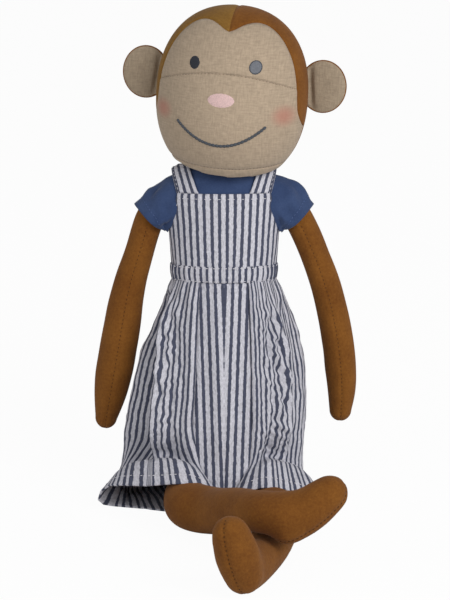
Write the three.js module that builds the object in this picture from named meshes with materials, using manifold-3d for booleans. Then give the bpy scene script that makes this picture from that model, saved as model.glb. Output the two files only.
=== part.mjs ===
// A seated cloth monkey: a stuffed jersey body with a linen face, a T-shirt and striped dungarees.
// Millimetres, +Z up. The monkey faces -Y, its own right is -X, and the origin is the middle of the seat.
import * as THREE from 'three';
import { mergeVertices } from 'three/addons/utils/BufferGeometryUtils.js';
import Module from 'manifold-3d';

const wasm = await Module();
wasm.setup();
const { degToRad, lerp, smoothstep, clamp } = THREE.MathUtils;

// Cloth thicknesses and clearances
const GAP = 0.3;
const JERSEY = 1.0;
const LINEN = 1.0;
const SHIRT_CLOTH = 1.0;
const STRIPED_CLOTH = 1.2;
const THREAD = 0.6;

// Body: a slim stuffed bag that leans back from the seat
const LEAN = degToRad(7);
const BODY_HEIGHT = 210;
const BODY_HALF_WIDTH = 33;
const BODY_HALF_DEPTH = 26;
const SEAT_ROUNDING = 10;
const SEAT_TUCK = 6;
const BELLY_HEIGHT = 45;
const BELLY_SWELL = 1;
const WAIST_DROP = 68.3;
const WAIST_PINCH = 4;
const CHEST_DROP = 16;
const CHEST_SWELL = 0.5;
const CHEST_FLATTENING = 7;
const SHOULDER_DIP = 6.4;
const SHOULDER_TUCK = 1.2;
const COLLAR_TUCK = 7;
const NECK_RADIUS = 9;
const NECK_LENGTH = 28;

// Head: a stuffed ball in three linen face panels and a two-piece jersey cap
const HEAD_HALF_WIDTH = 47;
const HEAD_HALF_DEPTH = 43;
const HEAD_HALF_HEIGHT = 55;
const HEAD_RISE = 46.5;
const UNDERSIDE_EASE = 1.2;
const HEAD_SIDE = 5;
const HEAD_FORWARD = 6;
const HEAD_PITCH = degToRad(6);
const HEAD_ROLL = degToRad(3.6);
const HEAD_YAW = degToRad(-9);
const HEAD_FULLNESS_POWER = 2.25;
const MUZZLE_SWELL = 4;
const MUZZLE_DROP = 14;
const MUZZLE_SPREAD = 26;
const FACE_HALF_WIDTH = 43;
const HAIRLINE_PEAK = 42.5;
const HAIRLINE_LOBE = 47.5;
const HAIRLINE_LOBE_SIDE = 15.5;
const HAIRLINE_ROUNDING = 14;
const BROW_SEAM = 18.5;
const BROW_SEAM_BOW = 9;
const CHIN_SEAM = -42;
const CHIN_SEAM_BOW = -4;
const TURN_ANGLE = degToRad(20);
const NOD_ANGLE = degToRad(8);

// Face embroidery
const EYE_SIDE = 18.6;
const EYE_HEIGHT = 23;
const EYE_HALF_WIDTH = 3.3;
const EYE_HALF_HEIGHT = 3.7;
const NOSE_HEIGHT = 2.5;
const NOSE_HALF_WIDTH = 7.8;
const NOSE_HALF_HEIGHT = 4;
const MOUTH_HALF_WIDTH = 27;
const MOUTH_CORNER_HEIGHT = -12.5;
const MOUTH_SAG = 13;
const MOUTH_LINE = 1.8;

// Ears: flat lens-shaped pouches on the sides of the cap
const EAR_HALF_WIDTH = 14;
const EAR_HALF_HEIGHT = 16.3;
const EAR_HALF_THICKNESS = 3;
const EAR_REACH = 8;
const EAR_HEIGHT = 9;
const EAR_BACK = 4;
const EAR_CLEARANCE = 0.9;

// Arms: tubes that leave the shoulder sideways, bend, and hang by steps [out, down] from the shoulder
const ARM_ROOT_RADIUS = 9;
const ARM_TIP_RADIUS = 7.4;
const SHOULDER_DROP = 24;
const SHOULDER_BEND = 14;
const SHOULDER_ANGLE = degToRad(58);
const RIGHT_FOREARM_RADIUS = 10.8;
const RIGHT_ARM_STEPS = [[18.5, 27], [25.5, 51], [33, 92], [38.5, 123], [41, 137]];
const LEFT_FOREARM_RADIUS = 9.6;
const LEFT_ARM_STEPS = [[21, 26], [32, 58], [38.5, 92], [40.5, 119], [40, 132]];
const CUFF_EASE = 2.2;
const ARMHOLE_EASE = 6.5;

// Legs: tubes laid forward from the hips by plan points [x, y], the right one lifted over the left
const THIGH_RADIUS = 13.2;
const SHIN_RADIUS = 10.6;
const HIP_SIDE = 19;
const HIP_FORWARD = 16;
const FLOOR_CLEARANCE = 0.5;
const CROSS_CLEARANCE = 4;
const RIGHT_LEG_PLAN = [[-19, -16], [-22, -40], [-20.6, -60], [-6, -77], [9.4, -107], [23, -131], [34, -137]];
const RIGHT_LIFT_RATIOS = [0, 0.04, 0.1, 0.28, 0.8, 1.06, 1.08];
const LEFT_LEG_PLAN = [[19, -16], [27, -45], [31, -80], [26.5, -115], [17.5, -143], [12, -156]];
const LEFT_LIFT_RATIOS = [0, 0, 0, 0, 0, 0];
const THIGH_SIDE_EASE = 4;
const RIGHT_HIP_DEGREES = [0, 40];
const LEFT_HIP_DEGREES = [-50, 0];
const HIP_EASE_DEGREES = 4;

// Feet: each heel is set from the end of its leg, and the toe points up
const HEEL_RADIUS = 11.4;
const TOE_RADIUS = 11.2;
const FOOT_LENGTH = 53;
const RIGHT_HEEL_OFFSET = [3, -1, -6];
const RIGHT_TOE_WAY = [0.79, 0.16, 0.59];
const LEFT_HEEL_OFFSET = [-1, -6, 1.5];
const LEFT_TOE_WAY = [-0.26, -0.2, 0.95];

// Shirt
const SHIRT_TUCK = 13.7;
const NECKLINE_RADIUS = 17;
const NECKBAND_WIDTH = 4;

// Dungarees above the waist: bib, back panel, straps and an elasticated waistband
const WAISTBAND_WIDTH = 9;
const WAISTBAND_SWELL = 1.6;
const ELASTIC_WIDTH = 5.5;
const ELASTIC_THICKNESS = 1.0;
const BIB_DROP = 14;
const BIB_TOP_INSET = 4;
const BIB_SCOOP_INSET = 1.5;
const BIB_SIDE_EASE = 1;
const BACK_PANEL_DROP = 28;
const STRAP_WIDTH = 13;
const STRAP_SPREAD = 11;

// Dungarees below the waist: cloth that falls in folds, closes round each leg and lies on the floor
const FOLD_COUNT = 7;
const FOLD_RATIO = 0.05;
const CENTRE_VALLEY_RATIO = 0.1;
const CENTRE_VALLEY_WIDTH = 11;
// Rings of the falling cloth: height, then reach to the right, left, front and back
const SKIRT_RINGS = [
  [116, 43.5, 44, 31.5, 28], [93, 52.5, 49.5, 37, 32], [72, 57.5, 51.5, 42, 34], [52, 61.5, 51, 47, 36],
  [36, 65, 49.5, 50, 37], [18, 70, 50, 37, 37], [0, 72, 51, 29, 37], [-14, 73, 51, 22, 36],
];
// Hem mouths as [x, y, z], round each leg from the outer corner over the top
const RIGHT_HEM = [
  [-79, -20, 5], [-75, -28, 15], [-52, -47, 24], [-21, -62, 33], [-7, -60, 28],
  [-3, -52, 14], [-5, -38, 1], [-24, -28, 0], [-52, -19, 0],
];
const LEFT_HEM = [
  [67, -50, 5], [64, -55, 14], [49, -60, 25], [28, -62, 33], [8, -61, 28],
  [3, -53, 14], [5, -40, 1], [26, -30, 0], [50, -34, 0],
];
const HEM_ROOT_Y = -6;
const HEM_ROOT_RATIO = 0.9;
const HEM_CUT_RATIO = 1.08;

// Facet counts
const BODY_SIDES = 16;
const BODY_RING_COUNT = 10;
const HEAD_SIDES = 20;
const HEAD_RING_COUNT = 11;
const LIMB_SIDES = 10;
const ROUND_SIDES = 16;
const SLEEVE_SIDES = 14;
const ARM_RING_COUNT = 10;
const LEG_RING_COUNT = 11;
const FOOT_RING_COUNT = 2;
const DOME_RING_COUNT = 2;
const DOME_FLATNESS = 0.35;
const SKIRT_SIDES = 28;
const HEM_SIDES = 20;
const HEM_RING_COUNT = 3;
const MOUTH_POINT_COUNT = 9;
const CURVE_SEGMENTS = 8;

// Colours
const BROWN = 0x80521f;
const LINEN_BEIGE = 0xb09d88;
const SHIRT_BLUE = 0x3f5075;
const STRIPE_MEAN = 0x9194a3;
const SLATE = 0x5a5d66;
const PINK = 0xddbdbc;
const FILL_WHITE = 0xf0eee8;
const CLOTH_ROUGHNESS = 0.9;

// Sizes that follow from the ones above
const WAIST_HEIGHT = BODY_HEIGHT - WAIST_DROP;
const WAIST_TOP = WAIST_HEIGHT + WAISTBAND_WIDTH;
const SHOULDER_HEIGHT = BODY_HEIGHT - SHOULDER_DROP;
const BIB_TOP = BODY_HEIGHT - BIB_DROP;
const BIB_TOP_HALF_WIDTH = BODY_HALF_WIDTH - BIB_TOP_INSET;
const BIB_SCOOP_HALF_WIDTH = BODY_HALF_WIDTH - BIB_SCOOP_INSET;
const BACK_TOP = BODY_HEIGHT - BACK_PANEL_DROP;
const NECK_PIVOT = BODY_HEIGHT - JERSEY + NECK_RADIUS;
const SEAT_HEIGHT = STRIPED_CLOTH + GAP;
const HIP_HEIGHT = SEAT_HEIGHT + THIGH_RADIUS;
const SHIRT_OUT = GAP + SHIRT_CLOTH;
const OVER_IN = SHIRT_OUT + GAP;
const OVER_OUT = OVER_IN + STRIPED_CLOTH;
const FAR = 2 * BODY_HEIGHT;

// Small helpers
const vector = (x, y, z) => new THREE.Vector3(x, y, z);
const range = (count) => Array.from({ length: count }, (_, i) => i);
const joined = (bodies) => bodies.reduce((all, one) => all.add(one));
const placed = (geometry, matrix) => geometry.clone().applyMatrix4(matrix);
const curveThrough = (points) => new THREE.CatmullRomCurve3(points, false, 'centripetal');
const outline = (points) => new THREE.Shape(points.map(([x, z]) => new THREE.Vector2(x, z)));
const Y_AXIS = vector(0, 1, 0);
const Z_AXIS = vector(0, 0, 1);

// A closed skin becomes a solid that can be joined and cut
function solid(geometry) {
  const bare = geometry.clone();
  bare.deleteAttribute('normal');
  bare.deleteAttribute('uv');
  const merged = mergeVertices(bare, 1e-4);
  return new wasm.Manifold(new wasm.Mesh({
    numProp: 3,
    vertProperties: new Float32Array(merged.attributes.position.array),
    triVerts: new Uint32Array(merged.index.array),
  }));
}

function skin(positions, index) {
  const geometry = new THREE.BufferGeometry();
  geometry.setAttribute('position', new THREE.BufferAttribute(new Float32Array(positions), 3));
  geometry.setIndex(Array.from(index));
  return geometry;
}

function geometryOf(body) {
  const mesh = body.getMesh();
  return skin(mesh.vertProperties, mesh.triVerts);
}

function signedVolume(positions, index) {
  const corner = (k) => vector(positions[3 * k], positions[3 * k + 1], positions[3 * k + 2]);
  return range(index.length / 3).reduce((sum, k) => {
    const [a, b, c] = [index[3 * k], index[3 * k + 1], index[3 * k + 2]];
    return sum + corner(a).dot(corner(b).cross(corner(c)));
  }, 0);
}

// Rings of points, all of one count, joined into a closed skin with a fan over each end
function loft(rings) {
  const count = rings[0].length;
  const positions = rings.flat().flatMap((p) => [p.x, p.y, p.z]);
  const index = [];
  const corners = (ring, i) => [ring * count + i, ring * count + (i + 1) % count];
  for (const ring of range(rings.length - 1)) {
    for (const i of range(count)) {
      const [a, b] = corners(ring, i);
      index.push(a, b, b + count, a, b + count, a + count);
    }
  }
  for (const [ring, isLast] of [[0, false], [rings.length - 1, true]]) {
    const hub = positions.length / 3;
    const centre = rings[ring].reduce((sum, p) => sum.add(p), vector(0, 0, 0)).divideScalar(count);
    positions.push(centre.x, centre.y, centre.z);
    for (const i of range(count)) {
      const [a, b] = corners(ring, i);
      index.push(...(isLast ? [a, b, hub] : [b, a, hub]));
    }
  }
  if (signedVolume(positions, index) < 0) index.reverse();
  return skin(positions, index);
}

function ringAbout(centre, tangent, across, radius, sides) {
  const u = across.clone().cross(tangent).normalize();
  const v = tangent.clone().cross(u);
  return range(sides).map((i) => {
    const angle = (2 * Math.PI * (i + 0.5)) / sides;
    return centre.clone()
      .addScaledVector(u, radius * Math.cos(angle))
      .addScaledVector(v, radius * Math.sin(angle));
  });
}

// A round tube of changing radius along a curve. An end is domed, or flat and run on past the curve.
function tube(curve, radiusAt, options) {
  const { rings, across, startWay, sides = LIMB_SIDES, domes = [true, true], runOn = 0 } = options;
  const tangentAt = (u) => (u === 0 && startWay ? startWay : curve.getTangentAt(u));
  const ringAt = (u, along, radius) => {
    const centre = curve.getPointAt(u).addScaledVector(tangentAt(u), along);
    return ringAbout(centre, tangentAt(u), across, radius, sides);
  };
  const domeAt = (u, way) => range(DOME_RING_COUNT).map((k) => {
    const angle = (Math.PI / 2) * (k + 1) / (DOME_RING_COUNT + DOME_FLATNESS);
    return ringAt(u, way * radiusAt(u) * Math.sin(angle), radiusAt(u) * Math.cos(angle));
  });
  const flatAt = (u, way) => (runOn > 0 ? [ringAt(u, way * runOn, radiusAt(u))] : []);
  const start = (domes[0] ? domeAt(0, -1) : flatAt(0, -1)).reverse();
  const body = range(rings + 1).map((k) => ringAt(k / rings, 0, radiusAt(k / rings)));
  const end = domes[1] ? domeAt(1, 1) : flatAt(1, 1);
  return loft([...start, ...body, ...end]);
}

const box = (low, high) => new THREE.BoxGeometry(...low.map((v, i) => high[i] - v))
  .translate(...low.map((v, i) => (v + high[i]) / 2));

const layerBetween = (low, high) => solid(box([-FAR, -FAR, low], [FAR, FAR, high]));

// A flat outline in x and height, run from one y to another
function prism(shape, from, to) {
  const settings = { depth: to - from, bevelEnabled: false, curveSegments: CURVE_SEGMENTS };
  return solid(new THREE.ExtrudeGeometry(shape, settings).rotateX(Math.PI / 2).translate(0, to, 0));
}

const sidewaysRod = (radius, height) => solid(
  new THREE.CylinderGeometry(radius, radius, FAR, ROUND_SIDES).rotateZ(Math.PI / 2).translate(0, 0, height),
);
const uprightRod = (radius, low, high) => new THREE.CylinderGeometry(radius, radius, high - low, ROUND_SIDES)
  .rotateX(Math.PI / 2).translate(0, 0, (low + high) / 2);

const ellipse = (halfWidth, halfDepth, height, sides) => range(sides).map((i) => {
  const angle = (2 * Math.PI * i) / sides;
  return vector(halfWidth * Math.cos(angle), halfDepth * Math.sin(angle), height);
});

// Groups: the trunk leans back as one, and the head is turned on it
const monkey = new THREE.Group();
const trunk = new THREE.Group();
trunk.rotation.x = -LEAN;
const head = new THREE.Group();
head.position.set(HEAD_SIDE, -HEAD_FORWARD, BODY_HEIGHT + HEAD_RISE);
head.rotation.set(HEAD_PITCH, HEAD_ROLL, HEAD_YAW);
trunk.add(head);
monkey.add(trunk);
monkey.updateMatrixWorld(true);
const toTrunk = trunk.matrixWorld.clone().invert();
const trunkToHead = head.matrix.clone().invert();
const aboveFloor = (lowest) => solid(placed(box([-FAR, -FAR, lowest], [FAR, FAR, FAR]), toTrunk));

function addPiece(parent, name, body, color) {
  const material = new THREE.MeshStandardMaterial({ color, roughness: CLOTH_ROUGHNESS, metalness: 0 });
  const mesh = new THREE.Mesh(geometryOf(body), material);
  mesh.name = name;
  parent.add(mesh);
}

// Body form: each point of the profile is height, half width and half depth
const bodyProfile = curveThrough([
  vector(SEAT_HEIGHT, BODY_HALF_WIDTH - SEAT_TUCK, BODY_HALF_DEPTH - SEAT_TUCK),
  vector(SEAT_ROUNDING, BODY_HALF_WIDTH, BODY_HALF_DEPTH),
  vector(BELLY_HEIGHT, BODY_HALF_WIDTH + BELLY_SWELL, BODY_HALF_DEPTH),
  vector(WAIST_HEIGHT, BODY_HALF_WIDTH - WAIST_PINCH, BODY_HALF_DEPTH - WAIST_PINCH),
  vector(BODY_HEIGHT - CHEST_DROP, BODY_HALF_WIDTH + CHEST_SWELL, BODY_HALF_DEPTH - CHEST_FLATTENING),
  vector(
    BODY_HEIGHT - SHOULDER_DIP,
    BODY_HALF_WIDTH + CHEST_SWELL - SHOULDER_TUCK,
    BODY_HALF_DEPTH - CHEST_FLATTENING - 2 * SHOULDER_TUCK,
  ),
  vector(
    BODY_HEIGHT,
    BODY_HALF_WIDTH + CHEST_SWELL - COLLAR_TUCK,
    BODY_HALF_DEPTH - CHEST_FLATTENING - COLLAR_TUCK,
  ),
]);

function bodyForm(grow) {
  const stations = bodyProfile.getSpacedPoints(BODY_RING_COUNT);
  const endLift = new Map([[0, -grow], [BODY_RING_COUNT, grow]]);
  return solid(loft(stations.map(
    (p, k) => ellipse(p.y + grow, p.z + grow, p.x + (endLift.get(k) ?? 0), BODY_SIDES),
  )));
}

const bodyShell = (inside, outside) => bodyForm(outside).subtract(bodyForm(inside));

// Room for a thigh through its whole swing: the side view of the swing, run across the thigh's width
function thighRoom(side, degrees) {
  const radius = THIGH_RADIUS + GAP;
  const [low, high] = [degrees[0] - HIP_EASE_DEGREES, degrees[1] + HIP_EASE_DEGREES].map(degToRad);
  const corner = (angle, across) => new THREE.Vector2(FAR, across).rotateAround(new THREE.Vector2(), angle);
  const shape = new THREE.Shape();
  shape.absarc(0, 0, radius, high + Math.PI / 2, low + 3 * Math.PI / 2);
  for (const [angle, across] of [[low, -radius], [low, radius], [high, -radius], [high, radius]]) {
    shape.lineTo(...corner(angle, across).toArray());
  }
  const halfWidth = radius + THIGH_SIDE_EASE;
  const settings = { depth: 2 * halfWidth, bevelEnabled: false, curveSegments: ROUND_SIDES };
  const swing = new THREE.ExtrudeGeometry(shape, settings).translate(0, 0, -halfWidth)
    .rotateX(Math.PI / 2).rotateZ(-Math.PI / 2)
    .translate(side * HIP_SIDE, -HIP_FORWARD, HIP_HEIGHT);
  return solid(placed(swing, toTrunk));
}

function buildBody() {
  const seated = aboveFloor(SEAT_HEIGHT)
    .subtract(thighRoom(-1, RIGHT_HIP_DEGREES))
    .subtract(thighRoom(1, LEFT_HIP_DEGREES));
  const neckOpening = solid(uprightRod(NECK_RADIUS, BODY_HEIGHT - CHEST_DROP, FAR));
  const cover = bodyShell(-JERSEY, 0).intersect(seated).subtract(neckOpening);
  addPiece(trunk, 'body_cover', cover, BROWN);
  addPiece(trunk, 'body_stuffing', bodyForm(-JERSEY - GAP).intersect(seated), FILL_WHITE);
}

function buildNeck() {
  const line = new THREE.LineCurve3(
    vector(0, 0, NECK_PIVOT),
    vector(0, 0, NECK_PIVOT + NECK_LENGTH - NECK_RADIUS),
  );
  const settings = { rings: 1, sides: ROUND_SIDES, across: Y_AXIS, domes: [true, false] };
  addPiece(trunk, 'neck', solid(tube(line, () => NECK_RADIUS, settings)), BROWN);
}

// Shirt body and neckband are one shell, parted round the neck
function buildShirt() {
  const layer = bodyShell(GAP, SHIRT_OUT).intersect(layerBetween(WAIST_HEIGHT - SHIRT_TUCK, FAR));
  const armholes = sidewaysRod(ARM_ROOT_RADIUS + GAP, SHOULDER_HEIGHT);
  const neckHole = (radius) => solid(uprightRod(radius, BODY_HEIGHT - CHEST_DROP, FAR));
  const bandRadius = NECKLINE_RADIUS + NECKBAND_WIDTH;
  addPiece(trunk, 'shirt_body', layer.subtract(armholes).subtract(neckHole(bandRadius + GAP)), SHIRT_BLUE);
  const band = layer.intersect(neckHole(bandRadius)).subtract(neckHole(NECKLINE_RADIUS));
  addPiece(trunk, 'shirt_neckband', band, SHIRT_BLUE);
}

// Bib outline, seen from the front, with a scoop under each arm
function bibOutline() {
  const wide = BODY_HALF_WIDTH + OVER_OUT + BIB_SIDE_EASE;
  const low = WAIST_TOP + GAP;
  const armpit = SHOULDER_HEIGHT - ARM_ROOT_RADIUS;
  const scoopFoot = armpit - ARM_ROOT_RADIUS;
  const shape = new THREE.Shape();
  shape.moveTo(-wide, low);
  shape.lineTo(-wide, scoopFoot);
  shape.quadraticCurveTo(-BIB_SCOOP_HALF_WIDTH, armpit, -BIB_TOP_HALF_WIDTH, BIB_TOP);
  shape.lineTo(BIB_TOP_HALF_WIDTH, BIB_TOP);
  shape.quadraticCurveTo(BIB_SCOOP_HALF_WIDTH, armpit, wide, scoopFoot);
  shape.lineTo(wide, low);
  return shape;
}

function buildBibAndBack() {
  const layer = bodyShell(OVER_IN, OVER_OUT);
  addPiece(trunk, 'bib', layer.intersect(prism(bibOutline(), -FAR, -GAP / 2)), STRIPE_MEAN);
  const backPanel = layer.intersect(prism(bibOutline(), GAP / 2, FAR))
    .intersect(layerBetween(WAIST_TOP, BACK_TOP))
    .subtract(sidewaysRod(ARM_ROOT_RADIUS + ARMHOLE_EASE + SHIRT_OUT, SHOULDER_HEIGHT));
  addPiece(trunk, 'back_panel', backPanel, STRIPE_MEAN);
}

// Each strap widens its stance from the bib to the shoulder, and comes in again down the back
function strapOutline(side) {
  const outer = BIB_TOP_HALF_WIDTH;
  const inner = outer - STRAP_WIDTH;
  const foot = BACK_TOP - GAP;
  const crest = BODY_HEIGHT + BIB_DROP;
  const edge = [
    [inner, foot], [outer, foot], [outer, BIB_TOP],
    [outer + STRAP_SPREAD / 2, crest], [inner + STRAP_SPREAD, crest], [inner, BIB_TOP],
  ];
  return outline(edge.map(([x, z]) => [side * x, z]));
}

function buildStraps() {
  const layer = bodyShell(OVER_IN, OVER_OUT);
  const front = solid(box([-FAR, -FAR, BIB_TOP + GAP], [FAR, 0, FAR]));
  const back = solid(box([-FAR, 0, BACK_TOP + GAP], [FAR, FAR, FAR]));
  for (const [name, side] of [['right_strap', -1], ['left_strap', 1]]) {
    const band = layer.intersect(prism(strapOutline(side), -FAR, FAR)).intersect(front.add(back));
    addPiece(trunk, name, band, STRIPE_MEAN);
  }
}

// The waistband is a casing with an elastic in a channel on its inside
function buildWaistband() {
  const middle = (WAIST_HEIGHT + WAIST_TOP) / 2;
  const ring = (inside, outside, width) => bodyShell(inside, outside)
    .intersect(layerBetween(middle - width / 2, middle + width / 2));
  const casing = ring(OVER_IN, OVER_OUT + WAISTBAND_SWELL, WAISTBAND_WIDTH);
  const elasticIn = OVER_IN + GAP;
  const elasticOut = elasticIn + ELASTIC_THICKNESS;
  const channel = ring(OVER_IN - GAP, elasticOut + GAP, ELASTIC_WIDTH + 2 * GAP);
  addPiece(trunk, 'waistband', casing.subtract(channel), STRIPE_MEAN);
  addPiece(trunk, 'waist_elastic', ring(elasticIn, elasticOut, ELASTIC_WIDTH), FILL_WHITE);
}

// Falling cloth from the waist to the floor. Its inside, with a negative growth, also opens at the waist.
function skirtForm(grow, lowest) {
  const wide = BODY_HALF_WIDTH - WAIST_PINCH + OVER_OUT + GAP;
  const deep = BODY_HALF_DEPTH - WAIST_PINCH + OVER_OUT + GAP;
  const waistRing = (height) => [height, wide, wide, deep, deep];
  const opening = grow < 0 ? [waistRing(WAIST_TOP)] : [];
  const rings = [...opening, waistRing(WAIST_HEIGHT - GAP), ...SKIRT_RINGS];
  const skirt = loft(rings.map(([height, right, left, front, back]) => {
    const drop = clamp(1 - height / WAIST_HEIGHT, 0, 1);
    return range(SKIRT_SIDES).map((i) => {
      const angle = (2 * Math.PI * i) / SKIRT_SIDES;
      const fold = 1 + FOLD_RATIO * drop * Math.cos(FOLD_COUNT * angle);
      const reach = Math.cos(angle) < 0 ? right : left;
      const x = (reach + grow) * fold * Math.cos(angle);
      const valley = 1 - CENTRE_VALLEY_RATIO * drop * Math.exp(-((x / CENTRE_VALLEY_WIDTH) ** 2));
      const depth = Math.sin(angle) < 0 ? front * valley : back;
      return vector(x, (depth + grow) * fold * Math.sin(angle), height);
    });
  }));
  return solid(skirt).intersect(aboveFloor(lowest));
}

// One trouser leg's tube of cloth, from inside the falling cloth to its hem. Its inside runs past the hem.
function hemForm(hem, grow, lowest) {
  const mouth = new THREE.CatmullRomCurve3(hem.map((p) => vector(...p)), true, 'centripetal');
  const points = range(HEM_SIDES).map((i) => mouth.getPointAt(i / HEM_SIDES));
  const centre = points.reduce((sum, p) => sum.add(p), vector(0, 0, 0)).divideScalar(points.length);
  const grown = points.map((p) => {
    const away = vector(p.x - centre.x, 0, p.z - centre.z).normalize();
    return p.clone().addScaledVector(away, grow);
  });
  const length = grow < 0 ? HEM_CUT_RATIO : 1;
  const rings = range(HEM_RING_COUNT + 1).map((k) => {
    const share = length * k / HEM_RING_COUNT;
    return grown.map((p) => vector(p.x * lerp(HEM_ROOT_RATIO, 1, share), lerp(HEM_ROOT_Y, p.y, share), p.z));
  });
  return solid(placed(loft(rings), toTrunk)).intersect(aboveFloor(lowest));
}

function buildTrousers() {
  const cloth = (grow, lowest) => joined([
    skirtForm(grow, lowest), hemForm(RIGHT_HEM, grow, lowest), hemForm(LEFT_HEM, grow, lowest),
  ]);
  const trousers = cloth(0, 0).subtract(cloth(-STRIPED_CLOTH, STRIPED_CLOTH));
  const rightHalf = solid(box([-FAR, -FAR, -FAR], [-GAP / 2, FAR, FAR]));
  const leftHalf = solid(box([GAP / 2, -FAR, -FAR], [FAR, FAR, FAR]));
  addPiece(trunk, 'right_trouser_leg', trousers.intersect(rightHalf), STRIPE_MEAN);
  addPiece(trunk, 'left_trouser_leg', trousers.intersect(leftHalf), STRIPE_MEAN);
}

// Head form: a full ball with a swollen muzzle
function headForm(grow) {
  const power = 2 / HEAD_FULLNESS_POWER;
  const full = (value) => Math.sign(value) * Math.abs(value) ** power;
  const rings = range(HEAD_RING_COUNT).map((k) => {
    const angle = Math.PI * ((k + 0.4) / (HEAD_RING_COUNT - 0.2) - 0.5);
    const across = full(Math.cos(angle));
    const height = (HEAD_HALF_HEIGHT + grow) * full(Math.sin(angle));
    const swell = MUZZLE_SWELL * Math.exp(-(((height + MUZZLE_DROP) / MUZZLE_SPREAD) ** 2));
    return range(HEAD_SIDES).map((i) => {
      const turn = (2 * Math.PI * (i + 0.5)) / HEAD_SIDES;
      const x = (HEAD_HALF_WIDTH + grow) * across * Math.cos(turn);
      const y = (HEAD_HALF_DEPTH + grow) * across * Math.sin(turn);
      return vector(x, y < 0 ? y - swell * Math.sin(turn) ** 2 : y, height);
    });
  });
  return solid(loft(rings));
}

// The space that the clothed shoulders need under the head while it nods and turns
function shoulderRoom() {
  const grow = OVER_OUT + UNDERSIDE_EASE;
  const stations = bodyProfile.getSpacedPoints(2 * BODY_RING_COUNT);
  const rings = stations.filter((p) => p.x > BODY_HEIGHT - 2 * CHEST_DROP).map((p) => {
    const [wide, deep] = [p.y + grow, p.z + grow];
    const turned = Math.hypot(wide * Math.sin(TURN_ANGLE), deep * Math.cos(TURN_ANGLE));
    const tilted = turned + (NECK_PIVOT - p.x) * Math.sin(NOD_ANGLE);
    return ellipse(wide, tilted, p.x + grow + turned * Math.sin(NOD_ANGLE), ROUND_SIDES);
  });
  return solid(placed(loft(rings), trunkToHead));
}

// Heart-shaped face outline, seen from the front
function faceOutline(grow) {
  const wide = FACE_HALF_WIDTH + grow;
  const lobe = HAIRLINE_LOBE + grow;
  const peak = HAIRLINE_PEAK + grow;
  const brow = (lobe + peak) / 2;
  const shape = new THREE.Shape();
  shape.moveTo(-wide, -FAR);
  shape.lineTo(wide, -FAR);
  shape.lineTo(wide, 0);
  shape.bezierCurveTo(wide, lobe / 2, HAIRLINE_LOBE_SIDE + HAIRLINE_ROUNDING, lobe, HAIRLINE_LOBE_SIDE, lobe);
  shape.bezierCurveTo(HAIRLINE_LOBE_SIDE / 2, lobe, grow, brow, 0, peak);
  shape.bezierCurveTo(-grow, brow, -HAIRLINE_LOBE_SIDE / 2, lobe, -HAIRLINE_LOBE_SIDE, lobe);
  shape.bezierCurveTo(-HAIRLINE_LOBE_SIDE - HAIRLINE_ROUNDING, lobe, -wide, lobe / 2, -wide, 0);
  return shape;
}

// The front of the head between two seam lines, each bowed by its fall at the sides of the face
function seamBand([low, lowBow], [high, highBow]) {
  const far = FACE_HALF_WIDTH + GAP;
  const shape = new THREE.Shape();
  shape.moveTo(-far, low - lowBow);
  shape.quadraticCurveTo(0, low + lowBow, far, low - lowBow);
  shape.lineTo(far, high - highBow);
  shape.quadraticCurveTo(0, high + highBow, -far, high - highBow);
  return prism(shape, -FAR, 0);
}

function headBodies() {
  const neckHole = solid(placed(
    uprightRod(NECK_RADIUS + GAP, BODY_HEIGHT - CHEST_DROP, BODY_HEIGHT + NECK_LENGTH + GAP),
    trunkToHead,
  ));
  const away = shoulderRoom().add(neckHole);
  const cover = headForm(0).subtract(headForm(-LINEN)).subtract(away);
  return { cover, fill: headForm(-LINEN - GAP).subtract(away) };
}

function buildFace(cover) {
  const face = cover.intersect(prism(faceOutline(0), -FAR, 0));
  const top = [HEAD_HALF_HEIGHT + FAR, 0];
  const bottom = [-HEAD_HALF_HEIGHT - FAR, 0];
  const aboveBrow = seamBand([BROW_SEAM + GAP, BROW_SEAM_BOW], top);
  const cheeks = seamBand([CHIN_SEAM + GAP, CHIN_SEAM_BOW], [BROW_SEAM, BROW_SEAM_BOW]);
  const underChin = seamBand(bottom, [CHIN_SEAM, CHIN_SEAM_BOW]);
  addPiece(head, 'face_upper_panel', face.intersect(aboveBrow), LINEN_BEIGE);
  addPiece(head, 'face_lower_panel', face.intersect(cheeks), LINEN_BEIGE);
  addPiece(head, 'chin_panel', face.intersect(underChin), LINEN_BEIGE);
}

function buildCap(cover) {
  const cap = cover.subtract(prism(faceOutline(GAP), -FAR, GAP));
  const rightHalf = solid(box([-FAR, -FAR, -FAR], [-GAP / 2, FAR, FAR]));
  const leftHalf = solid(box([GAP / 2, -FAR, -FAR], [FAR, FAR, FAR]));
  addPiece(head, 'right_cap', cap.intersect(rightHalf), BROWN);
  addPiece(head, 'left_cap', cap.intersect(leftHalf), BROWN);
}

function mouthOutline() {
  const line = (offset) => range(MOUTH_POINT_COUNT).map((k) => {
    const share = 2 * k / (MOUTH_POINT_COUNT - 1) - 1;
    return [MOUTH_HALF_WIDTH * share, MOUTH_CORNER_HEIGHT - MOUTH_SAG * (1 - share ** 2) + offset];
  });
  return outline([...line(-MOUTH_LINE / 2), ...line(MOUTH_LINE / 2).reverse()]);
}

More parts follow.
